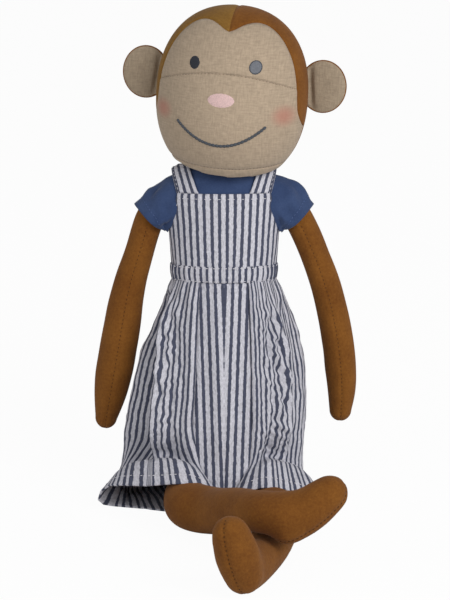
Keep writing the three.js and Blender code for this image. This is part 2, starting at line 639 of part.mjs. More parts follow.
function buildEmbroidery() {
  const layer = headForm(GAP + THREAD).subtract(headForm(GAP));
  const stitched = (shape) => layer.intersect(prism(shape, -FAR, 0));
  const oval = (x, z, halfWidth, halfHeight) => {
    const shape = new THREE.Shape();
    shape.absellipse(x, z, halfWidth, halfHeight, 0, 2 * Math.PI);
    return stitched(shape);
  };
  addPiece(head, 'right_eye', oval(-EYE_SIDE, EYE_HEIGHT, EYE_HALF_WIDTH, EYE_HALF_HEIGHT), SLATE);
  addPiece(head, 'left_eye', oval(EYE_SIDE, EYE_HEIGHT, EYE_HALF_WIDTH, EYE_HALF_HEIGHT), SLATE);
  addPiece(head, 'nose', oval(0, NOSE_HEIGHT, NOSE_HALF_WIDTH, NOSE_HALF_HEIGHT), PINK);
  addPiece(head, 'mouth', stitched(mouthOutline()), SLATE);
}

// Each ear is a lens, parted into a linen front and a jersey back
function buildEar(word, side) {
  const lens = new THREE.SphereGeometry(1, ROUND_SIDES, ROUND_SIDES / 2)
    .scale(EAR_HALF_WIDTH, EAR_HALF_THICKNESS, EAR_HALF_HEIGHT)
    .translate(side * (HEAD_HALF_WIDTH + EAR_REACH), EAR_BACK, EAR_HEIGHT);
  const ear = solid(lens).subtract(headForm(EAR_CLEARANCE));
  const front = solid(box([-FAR, -FAR, -FAR], [FAR, EAR_BACK - GAP / 2, FAR]));
  const back = solid(box([-FAR, EAR_BACK + GAP / 2, -FAR], [FAR, FAR, FAR]));
  addPiece(head, `${word}_ear_front`, ear.intersect(front), LINEN_BEIGE);
  addPiece(head, `${word}_ear_back`, ear.intersect(back), BROWN);
}

function buildHead() {
  const { cover, fill } = headBodies();
  buildFace(cover);
  buildCap(cover);
  addPiece(head, 'head_stuffing', fill, FILL_WHITE);
  buildEmbroidery();
  buildEar('right', -1);
  buildEar('left', 1);
}

// The bend that an arm and its sleeve share, from the shoulder outward and down
const shoulderBend = (side, start) => range(4).map((k) => {
  const angle = SHOULDER_ANGLE * k / 3;
  return vector(side * (start + SHOULDER_BEND * Math.sin(angle)), 0, SHOULDER_BEND * (Math.cos(angle) - 1));
});

function buildArm(word, side, steps, forearmRadius) {
  const shoulder = new THREE.Group();
  const socket = vector(side * (BODY_HALF_WIDTH + CHEST_SWELL + 2 * GAP), 0, SHOULDER_HEIGHT);
  shoulder.position.copy(socket.applyMatrix4(trunk.matrixWorld));
  monkey.add(shoulder);
  const startWay = vector(side, 0, 0);
  const hang = steps.map(([out, down]) => vector(side * out, 0, -down));
  const path = curveThrough([...shoulderBend(side, 0), ...hang]);
  const swell = (u) => lerp(ARM_ROOT_RADIUS, forearmRadius, smoothstep(u, 0.2, 0.65));
  const radiusAt = (u) => lerp(swell(u), ARM_TIP_RADIUS, smoothstep(u, 0.72, 1));
  const limb = (grow, runOn) => solid(tube(path, (u) => radiusAt(u) + grow, {
    rings: ARM_RING_COUNT, across: Y_AXIS, startWay, domes: [false, true], runOn,
  }));
  addPiece(shoulder, `${word}_arm_cover`, limb(0, 0).subtract(limb(-JERSEY, JERSEY)), BROWN);
  addPiece(shoulder, `${word}_arm_stuffing`, limb(-JERSEY - GAP, 0), FILL_WHITE);
  buildSleeve(shoulder, word, side, startWay);
}

function buildSleeve(shoulder, word, side, startWay) {
  const line = curveThrough(shoulderBend(side, SHIRT_OUT));
  const radiusAt = (u) => ARM_ROOT_RADIUS + lerp(ARMHOLE_EASE, CUFF_EASE, u);
  const cone = (grow, runOn) => solid(tube(line, (u) => radiusAt(u) + grow, {
    rings: 1, sides: SLEEVE_SIDES, across: Y_AXIS, startWay, domes: [false, false], runOn,
  }));
  addPiece(shoulder, `${word}_sleeve`, cone(SHIRT_CLOTH, 0).subtract(cone(0, SHIRT_CLOTH)), SHIRT_BLUE);
}

// A leg follows its plan at its own radius above the floor, and rises by its share of the crossing's lift
function legPath(plan, ratios, radiusAt, origin) {
  const lift = 2 * SHIN_RADIUS + CROSS_CLEARANCE;
  const last = plan.length - 1;
  return curveThrough(plan.map(([x, y], k) => {
    const underLeg = k / last < 0.5 ? SEAT_HEIGHT : FLOOR_CLEARANCE;
    return vector(x, y, underLeg + radiusAt(k / last) + lift * ratios[k]).sub(origin);
  }));
}

function buildLeg(word, plan, ratios, heelOffset, toeWay) {
  const hip = new THREE.Group();
  hip.position.set(Math.sign(plan[0][0]) * HIP_SIDE, -HIP_FORWARD, HIP_HEIGHT);
  monkey.add(hip);
  const radiusAt = (u) => lerp(THIGH_RADIUS, SHIN_RADIUS, smoothstep(u, 0.3, 0.8));
  const path = legPath(plan, ratios, radiusAt, hip.position);
  const heel = path.getPointAt(1).add(vector(...heelOffset));
  const footRun = vector(...toeWay).setLength(FOOT_LENGTH - HEEL_RADIUS - TOE_RADIUS);
  const sole = new THREE.LineCurve3(heel, heel.clone().add(footRun));
  const limb = (grow) => {
    const leg = tube(path, (u) => radiusAt(u) + grow, { rings: LEG_RING_COUNT, across: Z_AXIS });
    const footRadius = (u) => lerp(HEEL_RADIUS, TOE_RADIUS, u) + grow;
    return solid(leg).add(solid(tube(sole, footRadius, { rings: FOOT_RING_COUNT, across: Y_AXIS })));
  };
  const backward = new THREE.LineCurve3(vector(0, 0, 0), vector(0, 2 * THIGH_RADIUS, 0));
  const mouth = tube(backward, () => THIGH_RADIUS / 2, { rings: 1, across: Z_AXIS, domes: [false, false] });
  addPiece(hip, `${word}_leg_cover`, limb(0).subtract(limb(-JERSEY)).subtract(solid(mouth)), BROWN);
  addPiece(hip, `${word}_leg_stuffing`, limb(-JERSEY - GAP), FILL_WHITE);
}

buildBody();
buildNeck();
buildShirt();
buildBibAndBack();
buildStraps();
buildWaistband();
buildTrousers();
buildHead();
buildArm('right', -1, RIGHT_ARM_STEPS, RIGHT_FOREARM_RADIUS);
buildArm('left', 1, LEFT_ARM_STEPS, LEFT_FOREARM_RADIUS);
buildLeg('right', RIGHT_LEG_PLAN, RIGHT_LIFT_RATIOS, RIGHT_HEEL_OFFSET, RIGHT_TOE_WAY);
buildLeg('left', LEFT_LEG_PLAN, LEFT_LIFT_RATIOS, LEFT_HEEL_OFFSET, LEFT_TOE_WAY);

export default monkey;
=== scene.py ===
"""The looks of a seated cloth monkey in a T-shirt and striped dungarees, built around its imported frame.

Sizes are millimetres in the part's own frame (+Z up, the monkey faces -Y, its right is -X) until a mesh is
made, when they become metres. Places on cloth are shares: u across it and v along it, from 0 to 1.
"""
import logging
from bisect import bisect_right
from dataclasses import dataclass
from enum import Enum
from functools import partial
from itertools import accumulate
from math import asin, atan2, copysign, cos, exp, hypot, pi, radians, sin, sqrt
from typing import Callable, Dict, Iterable, List, NamedTuple, Optional, Sequence, Tuple, Union

import bmesh
import bpy
from mathutils import Matrix, Vector, noise
from mathutils.kdtree import KDTree


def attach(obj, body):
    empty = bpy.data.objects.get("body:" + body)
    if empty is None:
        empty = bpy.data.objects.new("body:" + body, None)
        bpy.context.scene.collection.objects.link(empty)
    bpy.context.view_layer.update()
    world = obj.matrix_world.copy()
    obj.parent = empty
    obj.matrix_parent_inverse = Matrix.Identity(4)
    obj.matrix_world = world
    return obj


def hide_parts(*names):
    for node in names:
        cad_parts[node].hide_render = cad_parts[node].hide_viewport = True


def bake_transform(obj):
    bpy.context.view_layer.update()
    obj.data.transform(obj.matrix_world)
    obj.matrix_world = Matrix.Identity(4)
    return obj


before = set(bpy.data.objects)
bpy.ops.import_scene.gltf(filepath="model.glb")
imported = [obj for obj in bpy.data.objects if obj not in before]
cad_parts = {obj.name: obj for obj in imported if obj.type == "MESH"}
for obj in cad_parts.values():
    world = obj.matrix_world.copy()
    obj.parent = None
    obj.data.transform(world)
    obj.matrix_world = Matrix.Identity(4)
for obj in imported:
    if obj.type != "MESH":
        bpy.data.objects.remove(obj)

LOG = logging.getLogger("monkey")
MM = 0.001
TAU = 2 * pi
TINY = 1e-9

Pair = Tuple[float, float]
Triple = Tuple[float, float, float]
Colour = Tuple[float, float, float, float]
Place = Callable[[float, float], Vector]
Flat = Callable[[float, float], Pair]
Seam = List[Tuple[Vector, Vector]]
Piece = bpy.types.Object
Material = bpy.types.Material
Mesh = bmesh.types.BMesh
Tree = bpy.types.NodeTree
Node = bpy.types.Node
Output = Tuple[Node, Union[str, int]]
Drawn = Tuple[Output, Output]


class Side(Enum):
    """The monkey's own right or left, with its sign along X."""

    RIGHT = -1
    LEFT = 1

    @property
    def word(self) -> str:
        """The word that the frame's names start with."""
        return self.name.lower()


def lerp(a: float, b: float, share: float) -> float:
    """The value a share of the way from a to b."""
    return a + (b - a) * share


def clamp(value: float, low: float = 0.0, high: float = 1.0) -> float:
    """The value, kept between low and high."""
    return max(low, min(high, value))


def smoothstep(low: float, high: float, value: float) -> float:
    """An eased step from 0 at low to 1 at high."""
    t = clamp((value - low) / (high - low))
    return t * t * (3 - 2 * t)


def bump(value: float, centre: float, width: float) -> float:
    """A smooth hump of height 1 at centre, falling away over width."""
    return exp(-(((value - centre) / width) ** 2))


def capped(v: float, end: float) -> Pair:
    """The share along a tube's side and how far open the tube is, where each end takes a share to close."""
    return clamp((v - end) / (1 - 2 * end)), min(clamp(v / end), clamp((1 - v) / end))


def distances(points: Sequence[Vector]) -> List[float]:
    """How far along a run of points each of them lies."""
    return [0.0, *accumulate((b - a).length for a, b in zip(points, points[1:]))]


def table(value: float, rows: Sequence[Sequence[float]], ease: float = 0.35) -> List[float]:
    """Reads a table whose first column rises, easing between its rows.

    Args:
        value: where to read.
        rows: the rows, each a key and its values.
        ease: how much of an eased step goes into the straight one.

    Returns:
        The values at that key, without the key.
    """
    if value <= rows[0][0]:
        return list(rows[0][1:])
    for below, above in zip(rows, rows[1:]):
        if value <= above[0]:
            straight = (value - below[0]) / (above[0] - below[0])
            mixed = lerp(straight, smoothstep(below[0], above[0], value), ease)
            return [lerp(a, b, mixed) for a, b in zip(below[1:], above[1:])]
    return list(rows[-1][1:])


class Path:
    """A smooth line through points, read by shares of its own length."""

    SAMPLES_PER_SPAN = 24
    WAY_STEP = 0.005

    def __init__(self, points: Iterable[Sequence[float]]) -> None:
        """Fits the line.

        Args:
            points: the points that it passes through, in order.
        """
        knots = [Vector(p) for p in points]
        knots = [2 * knots[0] - knots[1], *knots, 2 * knots[-1] - knots[-2]]
        self.line: List[Vector] = [knots[1]]
        for k in range(1, len(knots) - 2):
            self.line += self.span(knots[k - 1:k + 3])
        self.reach = distances(self.line)

    def span(self, knots: Sequence[Vector]) -> List[Vector]:
        """The samples of one span, by the centripetal rule.

        Args:
            knots: the span's two ends, between their neighbours.

        Returns:
            The span's points, without its first.
        """
        a, b, c, d = knots
        steps = [max((q - p).length, 1e-6) ** 0.5 for p, q in zip(knots, knots[1:])]
        out = (b - a) / steps[0] - (c - a) / (steps[0] + steps[1]) + (c - b) / steps[1]
        into = (c - b) / steps[1] - (d - b) / (steps[1] + steps[2]) + (d - c) / steps[2]
        out, into = out * steps[1], into * steps[1]
        found = []
        for k in range(1, self.SAMPLES_PER_SPAN + 1):
            t = k / self.SAMPLES_PER_SPAN
            found.append(b * (2 * t**3 - 3 * t**2 + 1) + out * (t**3 - 2 * t**2 + t)
                         + c * (3 * t**2 - 2 * t**3) + into * (t**3 - t**2))
        return found

    @property
    def length(self) -> float:
        """The line's whole length."""
        return self.reach[-1]

    def at(self, share: float) -> Vector:
        """The point a share of the way along.

        Args:
            share: the share of the length.

        Returns:
            The point.
        """
        want = clamp(share) * self.length
        k = min(bisect_right(self.reach, want), len(self.reach) - 1) - 1
        step = self.reach[k + 1] - self.reach[k]
        return self.line[k].lerp(self.line[k + 1], (want - self.reach[k]) / max(step, TINY))

    def way(self, share: float) -> Vector:
        """The direction a share of the way along."""
        return (self.at(share + self.WAY_STEP) - self.at(share - self.WAY_STEP)).normalized()


# The trunk leans back as one, and the head is turned on it
TRUNK = Matrix.Rotation(radians(-7), 4, "X")
TO_TRUNK = TRUNK.inverted()
HEAD = TRUNK @ Matrix.Translation((5, -6, 256.5))
for degrees, axis in ((6, "X"), (3.6, "Y"), (-9, "Z")):
    HEAD = HEAD @ Matrix.Rotation(radians(degrees), 4, axis)
FROM_HEAD_TO_TRUNK = TO_TRUNK @ HEAD
FROM_TRUNK_TO_HEAD = FROM_HEAD_TO_TRUNK.inverted()
BACK = Vector((0, 1, 0))
UP = Vector((0, 0, 1))


def linear(code: str) -> Colour:
    """An sRGB hex code of six digits as a linear colour with full alpha."""
    parts = [int(code[k:k + 2], 16) / 255 for k in (0, 2, 4)]
    return (*[v / 12.92 if v <= 0.04045 else ((v + 0.055) / 1.055) ** 2.4 for v in parts], 1.0)


def add_node(tree: Tree, kind: str, settings: Optional[Dict[str, object]] = None,
             inputs: Optional[Dict[Union[str, int], object]] = None) -> Node:
    """Adds a node with its settings, values and links.

    Args:
        tree: the material's or world's tree.
        kind: the node's type name, after ShaderNode.
        settings: the node's own settings.
        inputs: for each input socket, a value, or a node and its output to link.

    Returns:
        The new node.
    """
    node = tree.nodes.new(f"ShaderNode{kind}")
    for name, value in (settings or {}).items():
        setattr(node, name, value)
    for key, value in (inputs or {}).items():
        if isinstance(value, tuple) and isinstance(value[0], Node):
            tree.links.new(value[0].outputs[value[1]], node.inputs[key])
        else:
            node.inputs[key].default_value = value
    return node


@dataclass(frozen=True)
class Finish:
    """One real material, and how it is drawn."""

    name: str
    roughness: float
    sheen: float  # how much light its loose fibres catch
    relief: float = 0.25  # how deep its pattern's relief is

    def colour(self, tree: Tree) -> Drawn:
        """The colour and the height of this finish's pattern."""
        raise NotImplementedError

    def material(self) -> Material:
        """Makes the material.

        Returns:
            The new material.
        """
        made = bpy.data.materials.new(self.name)
        made.use_nodes = True
        tree = made.node_tree
        tree.nodes.clear()
        colour, height = self.colour(tree)
        relief = add_node(tree, "Bump", {}, {
            "Strength": 0.8, "Distance": self.relief * MM, "Height": height})
        shader = add_node(tree, "BsdfPrincipled", {}, {
            "Base Color": colour, "Roughness": self.roughness, "IOR": 1.45, "Specular IOR Level": 0.25,
            "Sheen Weight": self.sheen, "Sheen Roughness": 0.5, "Normal": (relief, "Normal")})
        add_node(tree, "OutputMaterial", {}, {"Surface": (shader, "BSDF")})
        return made


@dataclass(frozen=True)
class Jersey(Finish):
    """Brushed cotton jersey: a soft matt knit that goes a shade warmer and darker in patches."""

    dark: str = "693d12"
    light: str = "86551f"
    patch_mm: float = 22.0
    patch_grain: Pair = (3.0, 0.6)  # patches' detail and roughness
    # Loops of real jersey are about 0.5 mm, too fine to show, so they are drawn two or three times as coarse
    knit_mm: float = 1.5
    knit_roughness: float = 0.7
    knit_share: float = 0.8  # how much the loops count beside the patches
    span: Pair = (0.6, 1.2)  # where the dyes change over

    def colour(self, tree: Tree) -> Drawn:
        """Soft patches of two dyes, under a fine mottle that stands for the knit's loops.

        Args:
            tree: the material's tree.

        Returns:
            The colour and the height.
        """
        where = add_node(tree, "TexCoord")
        sizes = ((self.patch_mm, *self.patch_grain), (self.knit_mm, 2.0, self.knit_roughness))
        patches, loops = (add_node(tree, "TexNoise", {}, {
            "Vector": (where, "Object"), "Scale": 1 / (size * MM), "Detail": detail, "Roughness": roughness,
        }) for size, detail, roughness in sizes)
        mixed = add_node(tree, "Math", {"operation": "MULTIPLY_ADD"}, {
            0: (loops, "Fac"), 1: self.knit_share, 2: (patches, "Fac")})
        ramp = add_node(tree, "MapRange", {}, {
            "Value": (mixed, "Value"), "From Min": self.span[0], "From Max": self.span[1]})
        colour = add_node(tree, "Mix", {"data_type": "RGBA"}, {
            "Factor": (ramp, "Result"), 6: linear(self.dark), 7: linear(self.light)})
        return (colour, 2), (loops, "Fac")


@dataclass(frozen=True)
class ShirtCotton(Jersey):
    """Dyed cotton jersey of the shirt: an even dusty blue, a little faded where the knit is stretched."""

    dark: str = "2d3e62"
    light: str = "3d4f74"
    patch_mm: float = 14.0
    patch_grain: Pair = (2.0, 0.5)
    knit_mm: float = 1.0
    knit_roughness: float = 0.5
    knit_share: float = 0.5
    span: Pair = (0.45, 1.05)


@dataclass(frozen=True)
class Linen(Finish):
    """Unbleached linen: a plain weave of uneven flax threads, beige with paler slubs both ways."""

    base: str = "b09d87"
    # Flax threads are about 0.5 mm apart, too fine to show, so they are drawn about twice as coarse
    thread_mm: float = 0.95
    slub_mm: float = 5.0
    blush: str = "b57868"
    blush_spots: Tuple[Triple, ...] = ()  # cheeks' places on the face and their radii

    def colour(self, tree: Tree) -> Drawn:
        """Uneven threads both ways across the cloth, and soft blush spots where there are any.

        Args:
            tree: the material's tree.

        Returns:
            The colour and the height.
        """
        cloth = add_node(tree, "UVMap", {"uv_map": "cloth"})
        runs = []
        for across, along in ((self.thread_mm, self.slub_mm), (self.slub_mm, self.thread_mm)):
            turned = add_node(tree, "Mapping", {}, {
                "Vector": (cloth, "UV"), "Scale": (1 / across, 1 / along, 1.0)})
            runs.append(add_node(tree, "TexNoise", {"noise_dimensions": "2D"}, {
                "Vector": (turned, "Vector"), "Scale": 1.0, "Detail": 3.0, "Roughness": 0.65}))
        both = add_node(tree, "Math", {"operation": "ADD"}, {0: (runs[0], "Fac"), 1: (runs[1], "Fac")})
        ramp = add_node(tree, "MapRange", {}, {
            "Value": (both, "Value"), "From Min": 0.6, "From Max": 1.4, "To Min": 0.80, "To Max": 1.18})
        woven = add_node(tree, "Mix", {"data_type": "RGBA", "blend_type": "MULTIPLY"}, {
            "Factor": 1.0, 6: linear(self.base), 7: (ramp, "Result")})
        for x, z, radius in self.blush_spots:
            away = add_node(tree, "VectorMath", {"operation": "DISTANCE"}, {
                0: (cloth, "UV"), 1: (x, z, 0.0)})
            near = add_node(tree, "MapRange", {"interpolation_type": "SMOOTHSTEP"}, {
                "Value": (away, "Value"), "From Min": radius, "From Max": radius * 0.1, "To Max": 0.7})
            woven = add_node(tree, "Mix", {"data_type": "RGBA"}, {
                "Factor": (near, "Result"), 6: (woven, 2), 7: linear(self.blush)})
        return (woven, 2), (both, "Value")


@dataclass(frozen=True)
class StripedCotton(Finish):
    """Yarn-dyed striped cotton: off-white and navy stripes down the cloth, with a crinkled, slubby weave."""

    relief: float = 0.8
    white: str = "d1d0d9"
    navy: str = "4c5063"
    period_mm: float = 4.65  # a stripe and the white beside it
    navy_share: float = 0.44
    slub_mm: float = 0.9
    slub_narrow: float = 0.4  # a slub's width as a share of its length
    crinkle_mm: float = 4.0
    wander_mm: float = 0.7  # how far the stripes wander
    ragged: float = 0.09  # how far the slubs break a stripe's edge, in periods
    soft: float = 0.035  # half the softness of that edge

    def colour(self, tree: Tree) -> Drawn:
        """Stripes along the cloth's length with slightly wandering edges and specks of the other yarn.

        Args:
            tree: the material's tree.

        Returns:
            The colour and the height.
        """
        cloth = add_node(tree, "UVMap", {"uv_map": "cloth"})
        wander = add_node(tree, "TexNoise", {"noise_dimensions": "2D"}, {
            "Vector": (cloth, "UV"), "Scale": 1 / self.crinkle_mm, "Detail": 2.0})
        slub_place = add_node(tree, "Mapping", {}, {
            "Vector": (cloth, "UV"), "Scale": (1 / self.slub_mm, self.slub_narrow / self.slub_mm, 1.0)})
        slubs = add_node(tree, "TexNoise", {"noise_dimensions": "2D"}, {
            "Vector": (slub_place, "Vector"), "Scale": 1.0, "Detail": 2.0, "Roughness": 0.7})
        parts = add_node(tree, "SeparateXYZ", {}, {"Vector": (cloth, "UV")})
        off = add_node(tree, "Math", {"operation": "MULTIPLY_ADD"}, {
            0: (wander, "Fac"), 1: self.wander_mm, 2: (parts, "X")})
        # How far a place is from the middle of its stripe, in periods
        for operation, by in (("DIVIDE", self.period_mm), ("FRACT", 0.0), ("SUBTRACT", 0.5), ("ABSOLUTE", 0.0)):
            off = add_node(tree, "Math", {"operation": operation}, {0: (off, "Value"), 1: by})
        rough = add_node(tree, "Math", {"operation": "MULTIPLY_ADD"}, {
            0: (slubs, "Fac"), 1: self.ragged, 2: (off, "Value")})
        edge = self.navy_share / 2 + self.ragged / 2
        dyed = add_node(tree, "MapRange", {"interpolation_type": "SMOOTHSTEP"}, {
            "Value": (rough, "Value"), "From Min": edge + self.soft, "From Max": edge - self.soft})
        yarn = add_node(tree, "Mix", {"data_type": "RGBA"}, {
            "Factor": (dyed, "Result"), 6: linear(self.white), 7: linear(self.navy)})
        shade = add_node(tree, "MapRange", {}, {
            "Value": (slubs, "Fac"), "From Min": 0.25, "From Max": 0.75, "To Min": 0.78, "To Max": 1.16})
        colour = add_node(tree, "Mix", {"data_type": "RGBA", "blend_type": "MULTIPLY"}, {
            "Factor": 1.0, 6: (yarn, 2), 7: (shade, "Result")})
        height = add_node(tree, "Math", {"operation": "MULTIPLY_ADD"}, {
            0: (wander, "Fac"), 1: 1.2, 2: (slubs, "Fac")})
        return (colour, 2), (height, "Value")


@dataclass(frozen=True)
class Thread(Finish):
    """Embroidery or sewing thread: fine parallel strands with a soft lustre."""

    base: str = "55595f"
    strand_mm: float = 0.8
    detail: float = 2.0
    span: Pair = (0.3, 0.7)  # where a strand goes from dark to light
    shade: Pair = (0.86, 1.12)  # how dark and how light

    def colour(self, tree: Tree) -> Drawn:
        """One dye, lighter and darker from strand to strand.

        Args:
            tree: the material's tree.

        Returns:
            The colour and the height.
        """
        where = add_node(tree, "TexCoord")
        strands = add_node(tree, "TexNoise", {}, {
            "Vector": (where, "Object"), "Scale": 1 / (self.strand_mm * MM), "Detail": self.detail})
        ramp = add_node(tree, "MapRange", {}, {
            "Value": (strands, "Fac"), "From Min": self.span[0], "From Max": self.span[1],
            "To Min": self.shade[0], "To Max": self.shade[1]})
        colour = add_node(tree, "Mix", {"data_type": "RGBA", "blend_type": "MULTIPLY"}, {
            "Factor": 1.0, 6: linear(self.base), 7: (ramp, "Result")})
        return (colour, 2), (strands, "Fac")


@dataclass(frozen=True)
class Filling(Thread):
    """Polyester fibre filling: white and cloudy, in tufts, with painted shade in soft random spots for faint
    hollows.
    """

    base: str = "f0eee8"
    strand_mm: float = 6.0
    detail: float = 4.0
    span: Pair = (0.0, 1.0)
    shade: Pair = (0.8, 1.0)


class Wardrobe:
    """Every material of the monkey, made once."""

    CHEEKS = ((-38.0, -7.7, 8.5), (36.5, -6.3, 9.0))

    def __init__(self) -> None:
        """Makes the materials."""
        self.jersey = Jersey("brushed cotton jersey", 0.92, 0.04).material()
        # A lighter, golden copy of the jersey for the cap's right half: painted light
        self.painted_light_jersey = Jersey(
            "golden brushed cotton jersey", 0.92, 0.04, dark="745020", light="8f692d").material()
        self.linen = Linen("unbleached linen", 0.92, 0.1).material()
        # A darker copy of the linen for the ears' fronts, with painted shade
        self.painted_shade_linen = Linen("unbleached linen with painted shade", 0.92, 0.1, base="9f8e79").material()
        self.cheeks = Linen("unbleached linen with blush", 0.92, 0.1, blush_spots=self.CHEEKS).material()
        self.shirt = ShirtCotton("dyed cotton jersey", 0.88, 0.12).material()
        self.stripes = StripedCotton("striped cotton", 0.9, 0.05).material()
        self.slate = Thread("slate embroidery thread", 0.8, 0.0, base="50545a").material()
        self.dark = Thread("dark slate embroidery thread", 0.8, 0.0, base="303239").material()
        self.grey = Thread("grey embroidery thread", 0.8, 0.0, base="73767d").material()
        self.pink = Thread("pink embroidery thread", 0.7, 0.05, base="dbbbb8").material()
        self.seam_brown = Thread("brown sewing thread", 0.8, 0.0, base="4f2f12").material()
        self.seam_linen = Thread("flax sewing thread", 0.8, 0.0, base="7d6c59").material()
        self.seam_white = Thread("white sewing thread", 0.75, 0.0, base="dcdae0").material()
        self.seam_blue = Thread("blue sewing thread", 0.75, 0.0, base="51648e").material()
        self.filling = Filling("polyester fibre filling", 0.95, 0.2).material()


def new_piece(name: str, mesh: Mesh, material: Material) -> Piece:
    """Turns a finished bmesh in millimetres into an object at the origin.

    Args:
        name: the piece's name.
        mesh: its bmesh, which is freed.
        material: its material.

    Returns:
        The new object, smooth shaded and in the scene.
    """
    bmesh.ops.scale(mesh, vec=(MM, MM, MM), verts=mesh.verts)
    for face in mesh.faces:
        face.smooth = True
    data = bpy.data.meshes.new(name)
    mesh.to_mesh(data)
    mesh.free()
    data.materials.append(material)
    piece = bpy.data.objects.new(name, data)
    bpy.context.scene.collection.objects.link(piece)
    return piece


def wrapped_grid(grid: Tuple[int, int], place: Place, flat: Optional[Flat] = None) -> Mesh:
    """A flat grid of cloth, wrapped to a shape, with its flat place kept as the cloth UV map.

    Args:
        grid: the faces across and along.
        place: where the point at a share across and a share along goes.
        flat: the cloth's own flat place of that point; shares without it.

    Returns:
        The wrapped bmesh, with edges that meet sewn together.
    """
    mesh = bmesh.new()
    cloth = mesh.loops.layers.uv.new("cloth")
    bmesh.ops.create_grid(mesh, x_segments=grid[0], y_segments=grid[1], size=0.5)
    shares = {v: (v.co.x + 0.5, v.co.y + 0.5) for v in mesh.verts}
    flats = {v: flat(*s) if flat else s for v, s in shares.items()}
    for face in mesh.faces:
        for loop in face.loops:
            loop[cloth].uv = flats[loop.vert]
    for vert, share in shares.items():
        vert.co = place(*share)
    bmesh.ops.remove_doubles(mesh, verts=mesh.verts, dist=0.02)
    bmesh.ops.dissolve_degenerate(mesh, dist=0.005, edges=mesh.edges)
    return mesh


def bake(piece: Piece) -> None:
    """Applies a piece's modifiers to its mesh.

    Args:
        piece: the piece.
    """
    old = piece.data
    piece.data = bpy.data.meshes.new_from_object(piece.evaluated_get(bpy.context.evaluated_depsgraph_get()))
    piece.data.name = piece.name
    piece.modifiers.clear()
    bpy.data.meshes.remove(old)


def sewn(name: str, grid: Tuple[int, int], place: Place, inside: Vector, material: Material,
         flat: Optional[Flat] = None, cloth: float = 0.0) -> Piece:
    """Makes a piece of wrapped cloth with its outside facing out.

    Args:
        name: the piece's name.
        grid: its faces across and along.
        place: where its points go.
        inside: a place on its inner side.
        material: its material.
        flat: the cloth's own flat places.
        cloth: the cloth's thickness, which grows inward; none for a stuffed skin.

    Returns:
        The new piece.
    """
    mesh = wrapped_grid(grid, place, flat)
    bmesh.ops.recalc_face_normals(mesh, faces=mesh.faces)
    lean = sum((f.calc_center_median() - inside).dot(f.normal) * f.calc_area() for f in mesh.faces)
    if lean < 0:
        bmesh.ops.reverse_faces(mesh, faces=mesh.faces)
    piece = new_piece(name, mesh, material)
    if cloth:
        wall = piece.modifiers.new("cloth thickness", "SOLIDIFY")
        wall.thickness, wall.offset, wall.use_even_offset = cloth * MM, -1.0, False
        bake(piece)
    return piece


def puff(piece: Piece, cap: float, frames: int, held: Optional[Callable[[Vector], float]] = None) -> None:
    """Lets stuffing press a cover out with a short cloth simulation, and keeps the result.

    Args:
        piece: the cover.
        cap: the furthest that a point may move.
        frames: how many steps to run.
        held: how firmly a point is held by a seam, from 0 to 1.
    """
    cloth = piece.modifiers.new("stuffing", "CLOTH")
    settings = cloth.settings
    settings.quality = 6
    settings.mass = 0.2
    settings.tension_stiffness = settings.compression_stiffness = 18
    settings.shear_stiffness = 6
    settings.bending_stiffness = 0.4
    settings.use_pressure = True
    settings.uniform_pressure_force = 4.0
    settings.effector_weights.gravity = 0
    cloth.collision_settings.use_collision = cloth.collision_settings.use_self_collision = False
    if held:
        group = piece.vertex_groups.new(name="seams")
        for vert in piece.data.vertices:
            group.add([vert.index], held(vert.co / MM), "REPLACE")
        settings.vertex_group_mass = group.name
    cloth.point_cache.frame_start, cloth.point_cache.frame_end = 1, frames
    scene = bpy.context.scene
    for step in range(1, frames + 1):
        scene.frame_set(step)
    pressed = piece.evaluated_get(bpy.context.evaluated_depsgraph_get()).data
    for vert, now in zip(piece.data.vertices, [v.co.copy() for v in pressed.vertices]):
        move = now - vert.co
        if move.length > cap * MM:
            move = move.normalized() * cap * MM
        vert.co = vert.co + move
    piece.modifiers.clear()
    piece.vertex_groups.clear()
    scene.frame_set(1)


class Stitch(NamedTuple):
    """One kind of sewn stitch."""

    length: float
    gap: float  # cloth between two stitches, below nothing where they overlap
    radius: float  # half a stitch's width


SKIN_STITCH = Stitch(1.5, 1.1, 0.28)
SHIRT_STITCH = Stitch(1.5, 0.8, 0.22)
FACE_STITCH = Stitch(1.2, 1.0, 0.24)
MOUTH_STITCH = Stitch(3.4, -1.2, 1.2)
EYE_STITCH = Stitch(2.0, -0.6, 0.45)
BIB_STITCH = Stitch(1.8, 1.0, 0.24)
STRAP_STITCH = Stitch(1.8, 1.0, 0.22)
BAND_STITCH = Stitch(1.9, 0.7, 0.3)
HEM_STITCH = Stitch(2.0, 1.0, 0.3)
LOW, PROUD = 0.05, 0.1  # how far off its cloth a row of stitches lies


def stitched(name: str, rows: Iterable[Tuple[Seam, Stitch]], material: Material) -> Piece:
    """Makes a piece of one or more rows of stitches.

    Args:
        name: the piece's name.
        rows: each row's line, as points with the cloth's outward normals, and its kind of stitch.
        material: the thread.

    Returns:
        The new piece.
    """
    mesh = bmesh.new()
    for line, stitch in rows:
        reach = distances([point for point, _ in line])
        count = int(reach[-1] // (stitch.length + stitch.gap))
        k = 0
        for number in range(count):
            want = (number + 0.5) * reach[-1] / count
            while k < len(reach) - 2 and reach[k + 1] < want:
                k += 1
            (a, up), (b, _) = line[k], line[k + 1]
            along = (b - a).normalized()
            across = along.cross(up).normalized()
            turn = Matrix((along, across, across.cross(along))).transposed().to_4x4()
            size = Matrix.Diagonal((stitch.length / 2, stitch.radius, stitch.radius * 0.7, 1.0))
            spot = Matrix.Translation(a.lerp(b, (want - reach[k]) / max(reach[k + 1] - reach[k], TINY)))
            bmesh.ops.create_icosphere(mesh, subdivisions=1, radius=1.0, matrix=spot @ turn @ size)
    return new_piece(name, mesh, material)


